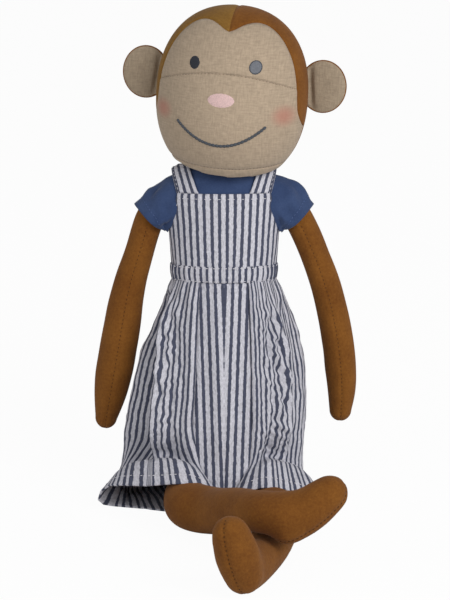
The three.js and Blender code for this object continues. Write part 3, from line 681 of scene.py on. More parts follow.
def surface_line(place: Place, shares: Sequence[Pair], lift: float, inside: Vector,
                 step: float = 0.004) -> Seam:
    """Points of a wrapped cloth along a run of its own shares, with outward normals.

    Args:
        place: the cloth's place function.
        shares: the run, as shares across and along.
        lift: how far off the cloth the points stand.
        inside: a place on the cloth's inner side.
        step: how far to either side the cloth's slope is read.

    Returns:
        Each point with its normal.
    """
    found = []
    for u, v in shares:
        here = place(u, v)
        way_u = place(min(u + step, 1.0), v) - place(max(u - step, 0.0), v)
        way_v = place(u, min(v + step, 1.0)) - place(u, max(v - step, 0.0))
        normal = way_u.cross(way_v)
        normal = normal.normalized() if normal.length > TINY else (here - inside).normalized()
        if normal.dot(here - inside) < 0:
            normal.negate()
        found.append((here + normal * lift, normal))
    return found


def on_skin(skin: Piece, guide: Sequence[Vector], lift: float = 0.0) -> Seam:
    """Finds the places on a skin that are nearest to a guide line.

    Args:
        skin: the skin, with its final mesh.
        guide: the line.
        lift: how far off the skin the places lie.

    Returns:
        The places, with normals.
    """
    found = []
    for point in guide:
        _, spot, normal, _ = skin.closest_point_on_mesh(point * MM)
        found.append((spot / MM + normal * lift, normal.copy()))
    return found


def run_of(count: int, start: Pair, end: Pair) -> List[Pair]:
    """Evenly spaced shares from one to another, both included."""
    return [(lerp(start[0], end[0], k / count), lerp(start[1], end[1], k / count)) for k in range(count + 1)]


def finish_piece(piece: Piece, slot: str, nodes: Sequence[str] = ()) -> None:
    """Hides the solids that a piece stands for, and logs it.

    Args:
        piece: the piece.
        slot: not used.
        nodes: the frame's solids that it replaces.
    """
    if nodes:
        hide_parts(*nodes)
    LOG.info("%s: %d faces", piece.name, len(piece.data.polygons))


def dress(piece: Piece, body: str, slot: str, nodes: Sequence[str] = ()) -> None:
    """Rides a piece on one of the frame's bodies, and finishes it."""
    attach(piece, body)
    finish_piece(piece, slot, nodes)


@dataclass
class Part:
    """One sub-assembly, which is made from the wardrobe's materials."""

    wardrobe: Wardrobe

    def build(self) -> None:
        """Makes its pieces and dresses them."""
        raise NotImplementedError


@dataclass
class Torso(Part):
    """The stuffed body, which gives every garment its shape, and the neck."""

    # Rows of height, half width and half depth, in the trunk's frame
    profile: Tuple[Triple, ...] = (
        (1.5, 27.0, 20.0), (10.0, 33.0, 26.0), (45.0, 34.0, 26.0), (90.0, 32.0, 24.6), (141.7, 29.0, 22.0),
        (170.0, 31.6, 21.0), (194.0, 33.5, 19.0), (203.6, 32.3, 16.6), (208.0, 29.6, 14.2), (210.0, 26.5, 12.0),
    )
    top: float = 210.0
    closing: float = 0.06  # share of the cover that closes each end
    lap: Pair = (28.0, 50.0)  # heights between which the belly falls back for the thighs
    neck: Triple = (211.0, 237.0, 8.8)  # heights of the neck's ends, and its radius
    neck_closing: float = 0.15

    def half(self, height: float) -> Pair:
        """The half width and half depth at a height."""
        wide, deep = table(height, self.profile)
        return wide, deep

    def point(self, height: float, turn: float, grow: float) -> Vector:
        """A point on the body, grown outward.

        Args:
            height: the height in the trunk's frame.
            turn: the angle from the front, growing to the monkey's left.
            grow: how far outside the body.

        Returns:
            The point in the part's frame.
        """
        wide, deep = self.half(height)
        lift = grow * smoothstep(200, 210, height)
        return TRUNK @ Vector(((wide + grow) * sin(turn), -(deep + grow) * cos(turn), height + lift))

    def bag(self, u: float, v: float) -> Vector:
        """A point of the body's cover.

        Args:
            u: the share round.
            v: the share up.

        Returns:
            The point.
        """
        share, open_by = capped(v, self.closing)
        height = lerp(self.profile[0][0], self.top, share)
        wide, deep = self.half(height)
        turn = TAU * u
        front = lerp(1.0, deep, smoothstep(*self.lap, height)) if cos(turn) > 0 else deep
        return TRUNK @ Vector((wide * sin(turn) * open_by, -front * cos(turn) * open_by, height))

    def stalk(self, u: float, v: float) -> Vector:
        """A point of the neck.

        Args:
            u: the share round.
            v: the share up.

        Returns:
            The point.
        """
        share, open_by = capped(v, self.neck_closing)
        low, high, radius = self.neck
        radius *= sin(open_by * pi / 2)
        return TRUNK @ Vector((radius * sin(TAU * u), -radius * cos(TAU * u), lerp(low, high, share)))

    def build(self) -> None:
        """Makes the stuffed body and the neck."""
        bag = sewn("stuffed_body", (48, 64), self.bag, Vector((0, 0, 100)), self.wardrobe.jersey)
        dress(bag, "torso", "brown_jersey", ("body_cover", "body_stuffing"))
        stalk = sewn("neck_stalk", (24, 20), self.stalk, TRUNK @ Vector((0, 0, 224)), self.wardrobe.jersey)
        dress(stalk, "neck", "brown_jersey", ("neck",))


@dataclass
class Shirt(Part):
    """The T-shirt's close body and its neckband."""

    torso: Torso
    low: float = 128.0  # height of its tucked-in edge
    neckline: float = 17.0  # radius
    band: float = 4.0  # width
    grow: float = 1.2  # how far off the body its outside is
    cloth: float = 0.9  # thickness
    rib: float = 0.7  # neckband's thickness
    sides: float = 0.8  # share of the cloth up the body; the rest is over the shoulders
    # The armholes' height, half their length, and how far out they let the shirt come
    armhole: Triple = (186.0, 14.0, 33.9)
    # How deep the neck opening is at the shirt, and at the band's outer and inner edge
    throat: Triple = (11.5, 11.6, 10.2)

    def over_top(self, u: float, v: float) -> Vector:
        """The shirt from its tucked-in edge up the body and over the shoulders to the neckband.

        Args:
            u: the share round.
            v: the share up.

        Returns:
            The point.
        """
        turn = TAU * u
        height = lerp(self.low, self.torso.top, min(v / self.sides, 1.0))
        here = TO_TRUNK @ self.torso.point(height, turn, self.grow)
        middle, reach, room = self.armhole
        if abs(height - middle) < reach:
            here.x = clamp(here.x, -room, room)
        share = clamp((v - self.sides) / (1 - self.sides))
        radius = self.neckline + self.band
        here = here.lerp(Vector((radius * sin(turn), -self.throat[0] * cos(turn), here.z)), share)
        here.z += 0.5 * sin(pi * share)
        rumple = 0.25 * noise.noise(here / 9.0)
        return TRUNK @ (here + Vector((here.x, here.y, 0)).normalized() * rumple)

    def collar(self, u: float, v: float) -> Vector:
        """The ribbed neckband, a low roll round the neck opening.

        Args:
            u: the share round.
            v: the share inward.

        Returns:
            The point.
        """
        turn = TAU * u
        radius = lerp(self.neckline + self.band - 0.3, self.neckline - 2, v)
        lift = 1.25 + 0.7 * sin(pi * v)
        deep = lerp(self.throat[1], self.throat[2], v)
        return TRUNK @ Vector((radius * sin(turn), -deep * cos(turn), self.torso.top + lift))

    def build(self) -> None:
        """Makes the shirt's body and neckband."""
        shell = sewn("shirt_body_cloth", (96, 70), self.over_top, Vector((0, 20, 170)), self.wardrobe.shirt,
                     lambda u, v: (190 * u, 100 * v), self.cloth)
        dress(shell, "torso", "shirt_cotton", ("shirt_body",))
        roll = sewn("shirt_neckband_rib", (72, 8), self.collar, TRUNK @ Vector((0, 0, 200)),
                    self.wardrobe.shirt, cloth=self.rib)
        dress(roll, "torso", "shirt_cotton", ("shirt_neckband",))


@dataclass
class Arm(Part):
    """A stuffed arm with a seam down its front, and the sleeve over its root."""

    side: Side
    steps: Tuple[Pair, ...]  # hang of the arm, as steps out and down from the shoulder
    forearm: float  # radius
    puffed: float  # how far the sleeve's top stands up
    torso: Torso
    shoulder: Triple = (34.1, 22.67, 184.61)  # left shoulder's place
    root: float = 9.0  # radius at the shoulder
    tip: float = 7.0  # radius there
    taper: float = 0.76  # share of its length where it starts to narrow
    bend: float = 14.0  # radius of the shoulder's bend
    bend_angle: float = radians(58)
    flat_end: float = 0.03  # share of the skin that closes the shoulder
    dome: float = 0.07  # share of the skin that rounds the tip
    armhole: Triple = (189.0, 17.5, 13.0)  # sleeve seam's height, half its height and half its depth
    stand_off: float = 1.4  # how far off the body that seam is
    # How far out and up from the shoulder the sleeve's mouth is, and half its depth
    mouth: Triple = (11.4, -7.2, 12.6)
    cuff: Pair = (13.8, 10.8)  # mouth's reach above and below its middle
    cloth: float = 0.9  # thickness
    # Two distances out from the middle, either side of the shoulder
    turning: Pair = (32.0, 47.0)

    def __post_init__(self) -> None:
        """Lays out the arm's middle line, from the shoulder's bend down its hang."""
        self.socket = self.out(*self.shoulder)
        angles = [self.bend_angle * k / 3 for k in range(4)]
        bend = [self.out(self.bend * sin(a), 0.0, self.bend * (cos(a) - 1)) for a in angles]
        self.path = Path([*bend, *(self.out(out, 0.0, -down) for out, down in self.steps)])

    def out(self, x: float, y: float, z: float) -> Vector:
        """A vector with x counted outward on this side."""
        return Vector((self.side.value * x, y, z))

    def limb(self, u: float, v: float) -> Vector:
        """The arm's skin, from the flat end at the shoulder to the rounded tip.

        Args:
            u: the share round, with the seam at its middle.
            v: the share along.

        Returns:
            The point.
        """
        angle = TAU * (u - 0.5)
        share = clamp((v - self.flat_end) / (1 - self.flat_end - self.dome))
        swell = lerp(self.root, self.forearm, smoothstep(0.2, 0.65, share))
        radius = lerp(swell, self.tip, clamp((share - self.taper) / (1 - self.taper)) ** 2)
        run_on = 0.0
        if v < self.flat_end:
            radius *= v / self.flat_end
        elif v > 1 - self.dome:
            arc = (v - 1 + self.dome) / self.dome * pi / 2
            run_on, radius = radius * sin(arc), radius * cos(arc)
        middle = self.socket + self.path.at(share)
        pinch = 0.55 * bump(angle * radius, 0.0, 1.1) if radius > 1 else 0.0
        soft = 0.35 * noise.noise(middle / 16.0 + Vector((cos(angle), sin(angle), 0)))
        radius = max(radius - pinch + soft * smoothstep(1, 5, radius), 0.0)
        way = self.path.way(share) if share > 0 else self.out(1, 0, 0)
        up = BACK.cross(way).normalized()
        return middle + way * run_on - BACK * radius * cos(angle) + up * radius * sin(angle)

    def sleeve(self, u: float, v: float) -> Vector:
        """The short sleeve, from its set-in seam on the shirt's shoulder to its hem, with slack folds.

        Args:
            u: the share round.
            v: the share from the seam to the hem.

        Returns:
            The point.
        """
        angle = TAU * (u - 0.5)
        rise, front = sin(angle), cos(angle)
        height, y = self.armhole[0] + self.armhole[1] * rise, -self.armhole[2] * front
        wide, deep = (half + self.stand_off for half in self.torso.half(height))
        seam = TRUNK @ self.out(wide * sqrt(max(1 - (y / deep) ** 2, 0.0)), y, height)
        mouth = self.socket + self.out(self.mouth[0], 0.0, self.mouth[1])
        cuff = self.cuff[0] if rise > 0 else self.cuff[1]
        mouth += self.out(0.743, 0.0, 0.669) * rise * cuff - Vector((0, self.mouth[2] * front, 0))
        belly = sin(pi * v)
        full = self.puffed * belly * max(rise, 0.0) ** 2
        slack = 0.8 * belly * cos(7 * angle + 3 * v) + 0.5 * v * sin(3 * angle + 2 * v)
        slack += 2.4 * belly * noise.noise(Vector((angle * 2.1, v * 3.5, self.side.value * 4.0)))
        here = seam.lerp(mouth, v)
        away = (here - self.socket - self.out(5, 0, -2)).normalized()
        return here + self.out(0.5, 0, 0.86) * full + away * slack

    def turn_with_arm(self, piece: Piece) -> None:
        """Bakes a piece of the sleeve's place into its mesh."""
        start, end = (tuple(self.out(x, *self.shoulder[1:]) * MM) for x in self.turning)
        f"{self.side.word}_arm"
        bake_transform(piece)

    def build(self) -> None:
        """Makes the arm, its seam stitches and its sleeve."""
        word = self.side.word
        body = f"{word}_arm"
        middle = self.socket + self.path.at(0.5)
        skin = sewn(f"{word}_arm_skin", (56, 120), self.limb, middle, self.wardrobe.jersey)
        puff(skin, cap=0.8, frames=14, held=lambda p: 1.0 if p.z > self.socket.z - 20 else 0.0)
        dress(skin, body, "brown_jersey", (f"{word}_arm_cover", f"{word}_arm_stuffing"))
        seam = on_skin(skin, [self.limb(*share) for share in run_of(160, (0.5, 0.14), (0.5, 0.97))], LOW)
        stitches = stitched(f"{word}_arm_seam", [(seam, SKIN_STITCH)], self.wardrobe.seam_brown)
        dress(stitches, body, "brown_jersey")
        inside = self.socket + self.out(6, 0, -1)
        sleeve = sewn(f"{word}_sleeve_cloth", (72, 28), self.sleeve, inside, self.wardrobe.shirt,
                      cloth=self.cloth)
        self.turn_with_arm(sleeve)
        finish_piece(sleeve, "shirt_cotton", (f"{word}_sleeve",))
        hem = surface_line(self.sleeve, run_of(120, (0.0, 0.8), (1.0, 0.8)), LOW, inside)
        stitches = stitched(f"{word}_sleeve_hem_stitch", [(hem, SHIRT_STITCH)], self.wardrobe.seam_blue)
        self.turn_with_arm(stitches)
        finish_piece(stitches, "shirt_cotton")


@dataclass
class Leg(Part):
    """A stuffed leg laid forward from the hip, with its foot turned up and a seam round the sole."""

    side: Side
    plan: Tuple[Pair, ...]  # leg's plan, as points in x and y
    lifts: Tuple[float, ...]  # how much of the crossing's lift each point has
    heel: Triple  # heel's step from the end of the leg
    toe: Triple  # way that the foot points
    sole: Triple  # way that the sole faces
    foot: float  # length
    thigh: float = 13.2  # radius
    shin: float = 10.6  # radius
    heel_radius: float = 11.4
    toe_radius: float = 11.2
    under: Pair = (1.5, 0.5)  # room under the thigh and under the shin
    crossing: float = 25.2  # how high the leg on top is lifted where they cross
    fuller: float = 2.0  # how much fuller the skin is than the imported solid
    foot_swell: float = 1.8  # how much fuller the foot's middle is than its ends
    on_cloth: float = 2.3  # underside's height where the leg lies on the trousers
    on_floor: float = 0.3  # underside's height where it is bare
    bare: Pair = (44.0, 56.0)  # how far forward the leg comes out of the cloth
    dome: float = 0.12  # share of a tube that each round end takes
    groove: Pair = (0.6, 1.2)  # how deep the sole's seam is drawn in, and how wide

    def radius(self, share: float) -> float:
        """The leg's radius a share of the way along."""
        return lerp(self.thigh, self.shin, smoothstep(0.3, 0.8, share))

    def capsule(self, path: Path, radius: Callable[[float], float]) -> Mesh:
        """A closed tube with round ends along a path.

        Args:
            path: its middle line.
            radius: its radius by the share along.

        Returns:
            The tube.
        """
        def place(u: float, v: float) -> Vector:
            """A point of the tube.

            Args:
                u: the share round.
                v: the share along.

            Returns:
                The point.
            """
            share = clamp((v - self.dome) / (1 - 2 * self.dome))
            way = path.way(share)
            side = UP.cross(way)
            side = side.normalized() if side.length > 0.2 else BACK.cross(way).normalized()
            size, run_on = radius(share), 0.0
            end = max(self.dome - v, v - 1 + self.dome) / self.dome
            if end > 0:
                arc = end * pi / 2
                run_on = size * sin(arc) * (1 if v > 0.5 else -1)
                size *= cos(arc)
            up = way.cross(side)
            return path.at(share) + way * run_on + side * size * cos(TAU * u) + up * size * sin(TAU * u)
        return wrapped_grid((28, 60), place)

    def joined(self, path: Path, heel: Vector, run: Vector) -> Mesh:
        """The leg, the foot and the instep as three tubes in one bmesh.

        Args:
            path: the leg's middle line.
            heel: the heel's middle.
            run: the way from there to the toe's middle.

        Returns:
            The bmesh.
        """
        middle = heel + run * 0.5
        instep = Path([path.at(0.86), path.at(0.97).lerp(middle, 0.5), middle])
        joined = self.capsule(path, lambda u: self.radius(u) + self.fuller)
        for line, radius in (
            (Path([heel, middle, heel + run]),
             lambda u: lerp(self.heel_radius, self.toe_radius, u) + self.foot_swell * sin(pi * u)),
            (instep, lambda u: self.shin + self.fuller),
        ):
            part = bpy.data.meshes.new("part")
            made = self.capsule(line, radius)
            made.to_mesh(part)
            made.free()
            joined.from_mesh(part)
            bpy.data.meshes.remove(part)
        bmesh.ops.recalc_face_normals(joined, faces=joined.faces)
        return joined

    def soften(self, skin: Piece) -> None:
        """Makes one soft skin of the tubes, puffs it and flattens what it lies on.

        Args:
            skin: the leg's skin.
        """
        remesh = skin.modifiers.new("one skin", "REMESH")
        remesh.mode, remesh.voxel_size = "VOXEL", 2.2 * MM
        relax = skin.modifiers.new("soft creases", "SMOOTH")
        relax.factor, relax.iterations = 0.5, 16
        bake(skin)
        puff(skin, cap=1.2, frames=12)
        soft = skin.modifiers.new("soft", "SUBSURF")
        soft.levels = soft.render_levels = 1
        bake(skin)
        for vert in skin.data.vertices:
            bare = smoothstep(*self.bare, -vert.co.y / MM)
            vert.co.z = max(vert.co.z, lerp(self.on_cloth, self.on_floor, bare) * MM)
        for face in skin.data.polygons:
            face.use_smooth = True

    def sole_seam(self, skin: Piece, heel: Vector, toe: Vector) -> Seam:
        """Draws the seam down the sole into the skin.

        Args:
            skin: the leg's skin.
            heel: the heel's middle.
            toe: the toe's middle.

        Returns:
            The seam's points on the skin, with normals.
        """
        way = (toe - heel).normalized()
        face = Vector(self.sole)
        face = (face - way * face.dot(way)).normalized()
        angles = [k * pi / 24 for k in range(12)]
        guide = [toe + (way * cos(a) + face * sin(a)) * 13 for a in angles]
        guide += [toe.lerp(heel, k / 20) + face * 14 for k in range(21)]
        guide += [heel + (face * cos(a) - way * sin(a)) * 13 for a in angles[1:10]]
        smooth = Path(guide)
        found = on_skin(skin, [smooth.at(k / 160) for k in range(161)])
        tree = KDTree(len(found))
        for k, (spot, _) in enumerate(found):
            tree.insert(spot, k)
        tree.balance()
        deep, wide = self.groove
        for vert in skin.data.vertices:
            _, k, away = tree.find(vert.co / MM)
            if away < 3:
                vert.co -= found[k][1] * (deep * MM * bump(away, 0.0, wide))
        return [(spot - normal * 0.35, normal) for spot, normal in found]

    def build(self) -> None:
        """Makes the leg and foot as one stuffed skin, and the stitches round the sole."""
        last = len(self.plan) - 1
        points = []
        for k, ((x, y), lift) in enumerate(zip(self.plan, self.lifts)):
            under = self.under[0] if k / last < 0.5 else self.under[1]
            points.append((x, y, under + self.radius(k / last) + self.crossing * lift))
        path = Path(points)
        heel = path.at(1.0) + Vector(self.heel)
        run = Vector(self.toe).normalized() * (self.foot - self.heel_radius - self.toe_radius)
        word = self.side.word
        body = f"{word}_leg"
        skin = new_piece(f"{word}_leg_skin", self.joined(path, heel, run), self.wardrobe.jersey)
        self.soften(skin)
        seam = self.sole_seam(skin, heel, heel + run)
        dress(skin, body, "brown_jersey", (f"{word}_leg_cover", f"{word}_leg_stuffing"))
        stitches = stitched(f"{word}_foot_seam", [(seam, SKIN_STITCH)], self.wardrobe.seam_brown)
        dress(stitches, body, "brown_jersey")


@dataclass
class HeadForm:
    """The stuffed head's shape, as a map from a ball to the head."""

    half: Triple = (47.0, 43.0, 55.0)  # half its width, depth and height
    power: float = 2.25  # how full the ball is; 2 is an ellipsoid
    swell: Triple = (4.0, -14.0, 26.0)  # muzzle's swell, its height and its spread
    shoulders: Pair = (33.5, 22.5)  # half width and half depth of the clothed shoulders under the head
    rest: Pair = (216.8, 16.0)  # lowest height over the shoulders, and how far it falls away beside them
    beside: Pair = (0.94, 1.32)  # between which shares of the shoulders' size it falls

    def from_ball(self, ball: Vector, grow: float = 0.0) -> Vector:
        """The head's point for a direction of the ball.

        Args:
            ball: the direction.
            grow: how far outside the head.

        Returns:
            The point in the head's own frame.
        """
        ease = 2 / self.power
        rise = clamp(ball.z, -1, 1)
        across = max(1 - rise * rise, 0.0) ** (ease / 2)
        height = (self.half[2] + grow) * copysign(abs(rise) ** ease, rise)
        flat = hypot(ball.x, ball.y)
        east, north = (ball.x / flat, ball.y / flat) if flat > TINY else (1.0, 0.0)
        y = (self.half[1] + grow) * across * north
        if y < 0:
            y -= self.swell[0] * bump(height, self.swell[1], self.swell[2]) * north * north
        return self.lifted(Vector(((self.half[0] + grow) * across * east, y, height)))

    def lifted(self, here: Vector) -> Vector:
        """Keeps the underside off the clothed shoulders.

        Args:
            here: a point in the head's own frame.

        Returns:
            The point, lifted where it was too low.
        """
        low = FROM_HEAD_TO_TRUNK @ here
        near = hypot(low.x / self.shoulders[0], low.y / self.shoulders[1])
        low.z = max(low.z, self.rest[0] - self.rest[1] * smoothstep(*self.beside, near))
        return FROM_TRUNK_TO_HEAD @ low

    def to_ball(self, x: float, z: float) -> Vector:
        """The ball's direction for a place on the front of the head, seen from the front.

        Args:
            x: the place across.
            z: the place's height.

        Returns:
            The direction.
        """
        ease = 2 / self.power
        rise = copysign((min(abs(z), self.half[2]) / self.half[2]) ** (1 / ease), z)
        across = max(1 - rise * rise, 1e-12)
        east = clamp(x / (self.half[0] * across ** (ease / 2)), -1, 1)
        flat = sqrt(across)
        return Vector((flat * east, -flat * sqrt(1 - east * east), rise))

    def half_width(self, z: float) -> float:
        """The head's half width at a height."""
        rise = min(abs(z) / self.half[2], 1.0)
        return self.half[0] * max(1 - rise ** self.power, 0.0) ** (1 / self.power)

    def front(self, x: float, z: float) -> Vector:
        """A point on the front of the head, in the part's frame."""
        return HEAD @ self.from_ball(self.to_ball(x, z))

    def normal(self, x: float, z: float, step: float = 0.3) -> Vector:
        """The outward normal there."""
        along = self.front(x + step, z) - self.front(x - step, z)
        return along.cross(self.front(x, z + step) - self.front(x, z - step)).normalized()

    def line(self, places: Iterable[Pair]) -> Seam:
        """Points on the front of the head, with their normals."""
        return [(self.front(x, z), self.normal(x, z)) for x, z in places]


def slerp(a: Vector, b: Vector, share: float) -> Vector:
    """A direction a share of the way round from a to b.

    Args:
        a: the first direction.
        b: the second direction.
        share: the share.

    Returns:
        The direction.
    """
    angle = a.angle(b)
    if angle < 1e-6:
        return a.copy()
    return (a * sin((1 - share) * angle) + b * sin(share * angle)) / sin(angle)


def meeting(low: float, high: float, gap: Callable[[float], float]) -> float:
    """Where a falling gap closes, found by halving.

    Args:
        low: a value where it is open.
        high: a value where it is closed.
        gap: the gap.

    Returns:
        The value between.
    """
    for _ in range(40):
        middle = (low + high) / 2
        low, high = (middle, high) if gap(middle) > 0 else (low, middle)
    return low


@dataclass
class Head(Part):
    """The head: three linen face panels, a two-piece jersey cap, embroidery and two ears."""

    form: HeadForm
    # The cap's edge from the notch to the side of the face, as x and z
    hairline: Tuple[Pair, ...] = (
        (0.0, 42.5), (3.0, 43.6), (7.0, 45.9), (11.5, 47.6), (16.0, 48.0), (21.5, 46.6), (28.0, 42.2),
        (34.0, 35.0), (38.8, 25.5), (41.8, 13.5), (43.0, 0.0),
    )
    face_width: float = 43.0  # half the face's width
    cheek: Pair = (-20.0, 3.2)  # how far below the ears, and how much wider, the face runs out
    brow: Pair = (18.5, 9.0)  # brow seam's height and its fall at the sides
    chin: Pair = (-42.0, -4.0)  # chin seam's height and its fall at the sides
    cloth: float = 1.0  # thickness
    groove: Pair = (0.55, 1.3)  # how far the seams draw the panels in, and how wide that is
    # Each eye's and the nose's place, half width and half height
    eyes: Tuple[Tuple[Pair, Pair], ...] = (((-18.6, 23.0), (3.9, 4.6)), ((18.6, 23.0), (4.2, 4.5)))
    nose: Tuple[Pair, Pair] = ((0.0, 2.5), (9.3, 4.8))
    mouth: Triple = (27.0, -12.5, 13.0)  # half the mouth's width, its ends' height and its depth
    ear: Triple = (55.0, 4.0, 9.0)  # how far out, back and up an ear's middle is
    ear_rim: Pair = (14.0, 14.15)  # an ear's half width in front and behind
    ear_taller: float = 2.3  # how much taller than wide it is
    ear_cloth: float = 0.8  # thickness

    def __post_init__(self) -> None:
        """Lays out the hairline and the ends of the seams."""
        line = Path([(x, 0.0, z) for x, z in self.hairline])
        self.edge = [line.at(k / 80) for k in range(81)]
        self.brow_end = meeting(40.0, self.face_width, lambda x: self.hair(x) - self.seam(self.brow, x))
        self.chin_end = meeting(20.0, 43.0, lambda x: self.form.half_width(self.seam(self.chin, x)) - x)

    def hair(self, x: float) -> float:
        """The hairline's height at a place across the face.

        Args:
            x: the place.

        Returns:
            The height.
        """
        x = abs(x)
        for a, b in zip(self.edge, self.edge[1:]):
            if a.x <= x <= b.x and b.x > a.x:
                return lerp(a.z, b.z, (x - a.x) / (b.x - a.x))
        return self.edge[-1].z

    def seam(self, seam: Pair, x: float) -> float:
        """A seam's height at a place across the face."""
        return seam[0] - seam[1] * (x / self.face_width) ** 2

    def face_edge(self, z: float) -> float:
        """Half the face's width at a height: it runs out to the head's widest line below the cheeks.

        Args:
            z: the height.

        Returns:
            The half width.
        """
        if z > 0:
            below = next(k for k in range(len(self.edge) - 1, -1, -1) if self.edge[k].z >= z)
            a, b = self.edge[below], self.edge[below + 1]
            return lerp(a.x, b.x, (a.z - z) / (a.z - b.z))
        return min(self.face_width + self.cheek[1] * smoothstep(0, self.cheek[0], z), self.form.half_width(z))

    def drawn(self, ball: Vector, nearest: float) -> Vector:
        """A panel's point for a direction of the ball, drawn in where the nearest seam is close."""
        return HEAD @ self.form.from_ball(ball, -self.groove[0] * bump(nearest, 0.0, self.groove[1]))

    def on_front(self, spot: Triple) -> Vector:
        """A front point given as x, z and its distance to the nearest seam."""
        return self.drawn(self.form.to_ball(spot[0], spot[1]), spot[2])

    def upper(self, u: float, v: float) -> Triple:
        """The upper face panel.

        Args:
            u: the share across.
            v: the share up.

        Returns:
            X, z and the distance to the nearest seam.
        """
        x = self.brow_end * sin((u - 0.5) * pi)
        low, high = self.seam(self.brow, x), self.hair(x)
        z = lerp(low, high, v)
        return x, z, min(z - low, (high - z) * 0.8)

    def lower(self, u: float, v: float) -> Triple:
        """The lower face panel.

        Args:
            u: the share across.
            v: the share up.

        Returns:
            X, z and the distance to the nearest seam.
        """
        wide = self.face_width
        for _ in range(4):
            x = wide * sin((u - 0.5) * pi)
            low, high = self.seam(self.chin, x), self.seam(self.brow, x)
            z = lerp(low, high, v)
            wide = self.face_edge(z)
        return x, z, min(z - low, high - z, min(u, 1 - u) * pi * wide * 0.8)

    def under(self, u: float, v: float) -> Vector:
        """The chin panel, from the chin seam round under the head.

        Args:
            u: the share across.
            v: the share back.

        Returns:
            The point.
        """
        x = self.chin_end * sin((u - 0.5) * pi)
        seam = self.form.to_ball(x, self.seam(self.chin, x))
        end = self.form.to_ball(self.chin_end, self.seam(self.chin, self.chin_end))
        widest = atan2(end.x, -end.z)
        angle = lerp(-widest, widest, u)
        return self.drawn(slerp(seam, Vector((sin(angle), 0, -cos(angle))), v), v * 22)

    def cap_edge(self) -> List[Vector]:
        """The cap's edge: down the hairline, the side of the face and round under the head.

        Returns:
            Its directions on the ball.
        """
        line = [self.form.to_ball(p.x, p.z) for p in self.edge]
        narrow = meeting(0.0, 55.0, lambda drop: self.form.half_width(-drop) - self.face_edge(-drop) - 0.01)
        drops = [-narrow * k / 12 for k in range(1, 13)]
        *side, end = [self.form.to_ball(self.face_edge(drop), drop) for drop in drops]
        start = atan2(hypot(end.x, end.y), -end.z)
        turns = [start * (1 - k / 30) for k in range(31)]
        return [*line, *side, *(Vector((sin(turn), 0, -cos(turn))) for turn in turns)]

    def panel(self, name: str, node: str, slot: str, grid: Tuple[int, int], place: Place, material: Material,
              flat: Optional[Flat] = None) -> None:
        """Makes one panel of the head's cover.

        Args:
            name: the piece's name.
            node: the frame's solid that it replaces.
            slot: the record's slot.
            grid: its faces across and along.
            place: where its points go.
            material: its material.
            flat: the cloth's flat places.
        """
        piece = sewn(name, grid, place, HEAD @ Vector(), material, flat, self.cloth)
        dress(piece, "head", slot, (node,))

    def build_cap(self, side: Side) -> None:
        """Makes one half of the cap, from the face's edge to the middle seam.

        Args:
            side: which half.
        """
        line = self.cap_edge()
        reach = [0.0, *accumulate(a.angle(b) for a, b in zip(line, line[1:]))]
        first = atan2(-line[0].y, line[0].z)

        def place(u: float, v: float) -> Vector:
            """A point of the cap.

            Args:
                u: the share from the face's edge to the middle seam.
                v: the share from front to back.

            Returns:
                The point.
            """
            want = v * reach[-1]
            k = next(i for i in range(len(line) - 1) if reach[i + 1] >= want - TINY)
            share = (want - reach[k]) / max(reach[k + 1] - reach[k], TINY)
            rim = slerp(line[k], line[k + 1], clamp(share))
            rim.x *= side.value
            turn = lerp(first, -pi, v)
            middle = Vector((0, -sin(turn), cos(turn)))
            return self.drawn(slerp(rim, middle, u), min(u, 1 - u) * rim.angle(middle) * 48)
        # The right half takes the lighter copy of the jersey, with painted light
        material = self.wardrobe.painted_light_jersey if side is Side.RIGHT else self.wardrobe.jersey
        self.panel(f"{side.word}_cap_panel", f"{side.word}_cap", "brown_jersey", (56, 120), place, material)

    def build_face(self) -> None:
        """Makes the three linen panels, the seam stitches and the filling behind them."""
        self.panel("face_upper_linen", "face_upper_panel", "linen", (64, 26),
                   lambda u, v: self.on_front(self.upper(u, v)), self.wardrobe.linen,
                   lambda u, v: self.upper(u, v)[:2])
        self.panel("face_lower_linen", "face_lower_panel", "linen", (72, 56),
                   lambda u, v: self.on_front(self.lower(u, v)), self.wardrobe.cheeks,
                   lambda u, v: self.lower(u, v)[:2])
        self.panel("chin_linen", "chin_panel", "linen", (56, 24), self.under, self.wardrobe.linen,
                   lambda u, v: (70 * u, 25 * v))
        rows = []
        for seam, end, off in ((self.brow, self.brow_end, -0.5), (self.chin, self.chin_end, 0.4)):
            line = []
            for k in range(121):
                x = end * 0.99 * sin((k / 120 - 0.5) * pi)
                z = self.seam(seam, x) + off
                line.append((self.on_front((x, z, abs(off))), self.form.normal(x, z)))
            rows.append((line, FACE_STITCH))
        dress(stitched("face_seam_stitches", rows, self.wardrobe.seam_linen), "head", "linen")
        ball = bmesh.new()
        bmesh.ops.create_icosphere(ball, subdivisions=5, radius=1.0)
        for vert in ball.verts:
            vert.co = HEAD @ self.form.from_ball(vert.co, -3.0)
        filling = new_piece("head_filling", ball, self.wardrobe.filling)
        dress(filling, "head", "stuffing", ("head_stuffing",))

    def pad(self, node: str, slot: str, shape: Tuple[Pair, Pair], lift: float, thread: Material) -> None:
        """Makes a satin-stitch pad of upright threads on the face.

        Args:
            node: the frame's solid that it replaces.
            slot: the record's slot.
            shape: its middle on the face, and half its width and height.
            lift: how proud its middle stands.
            thread: its thread.
        """
        centre, half = shape
        # The thread of real satin stitch is about 0.4 mm, so the ridges are drawn about twice as coarse
        ridge = 0.9

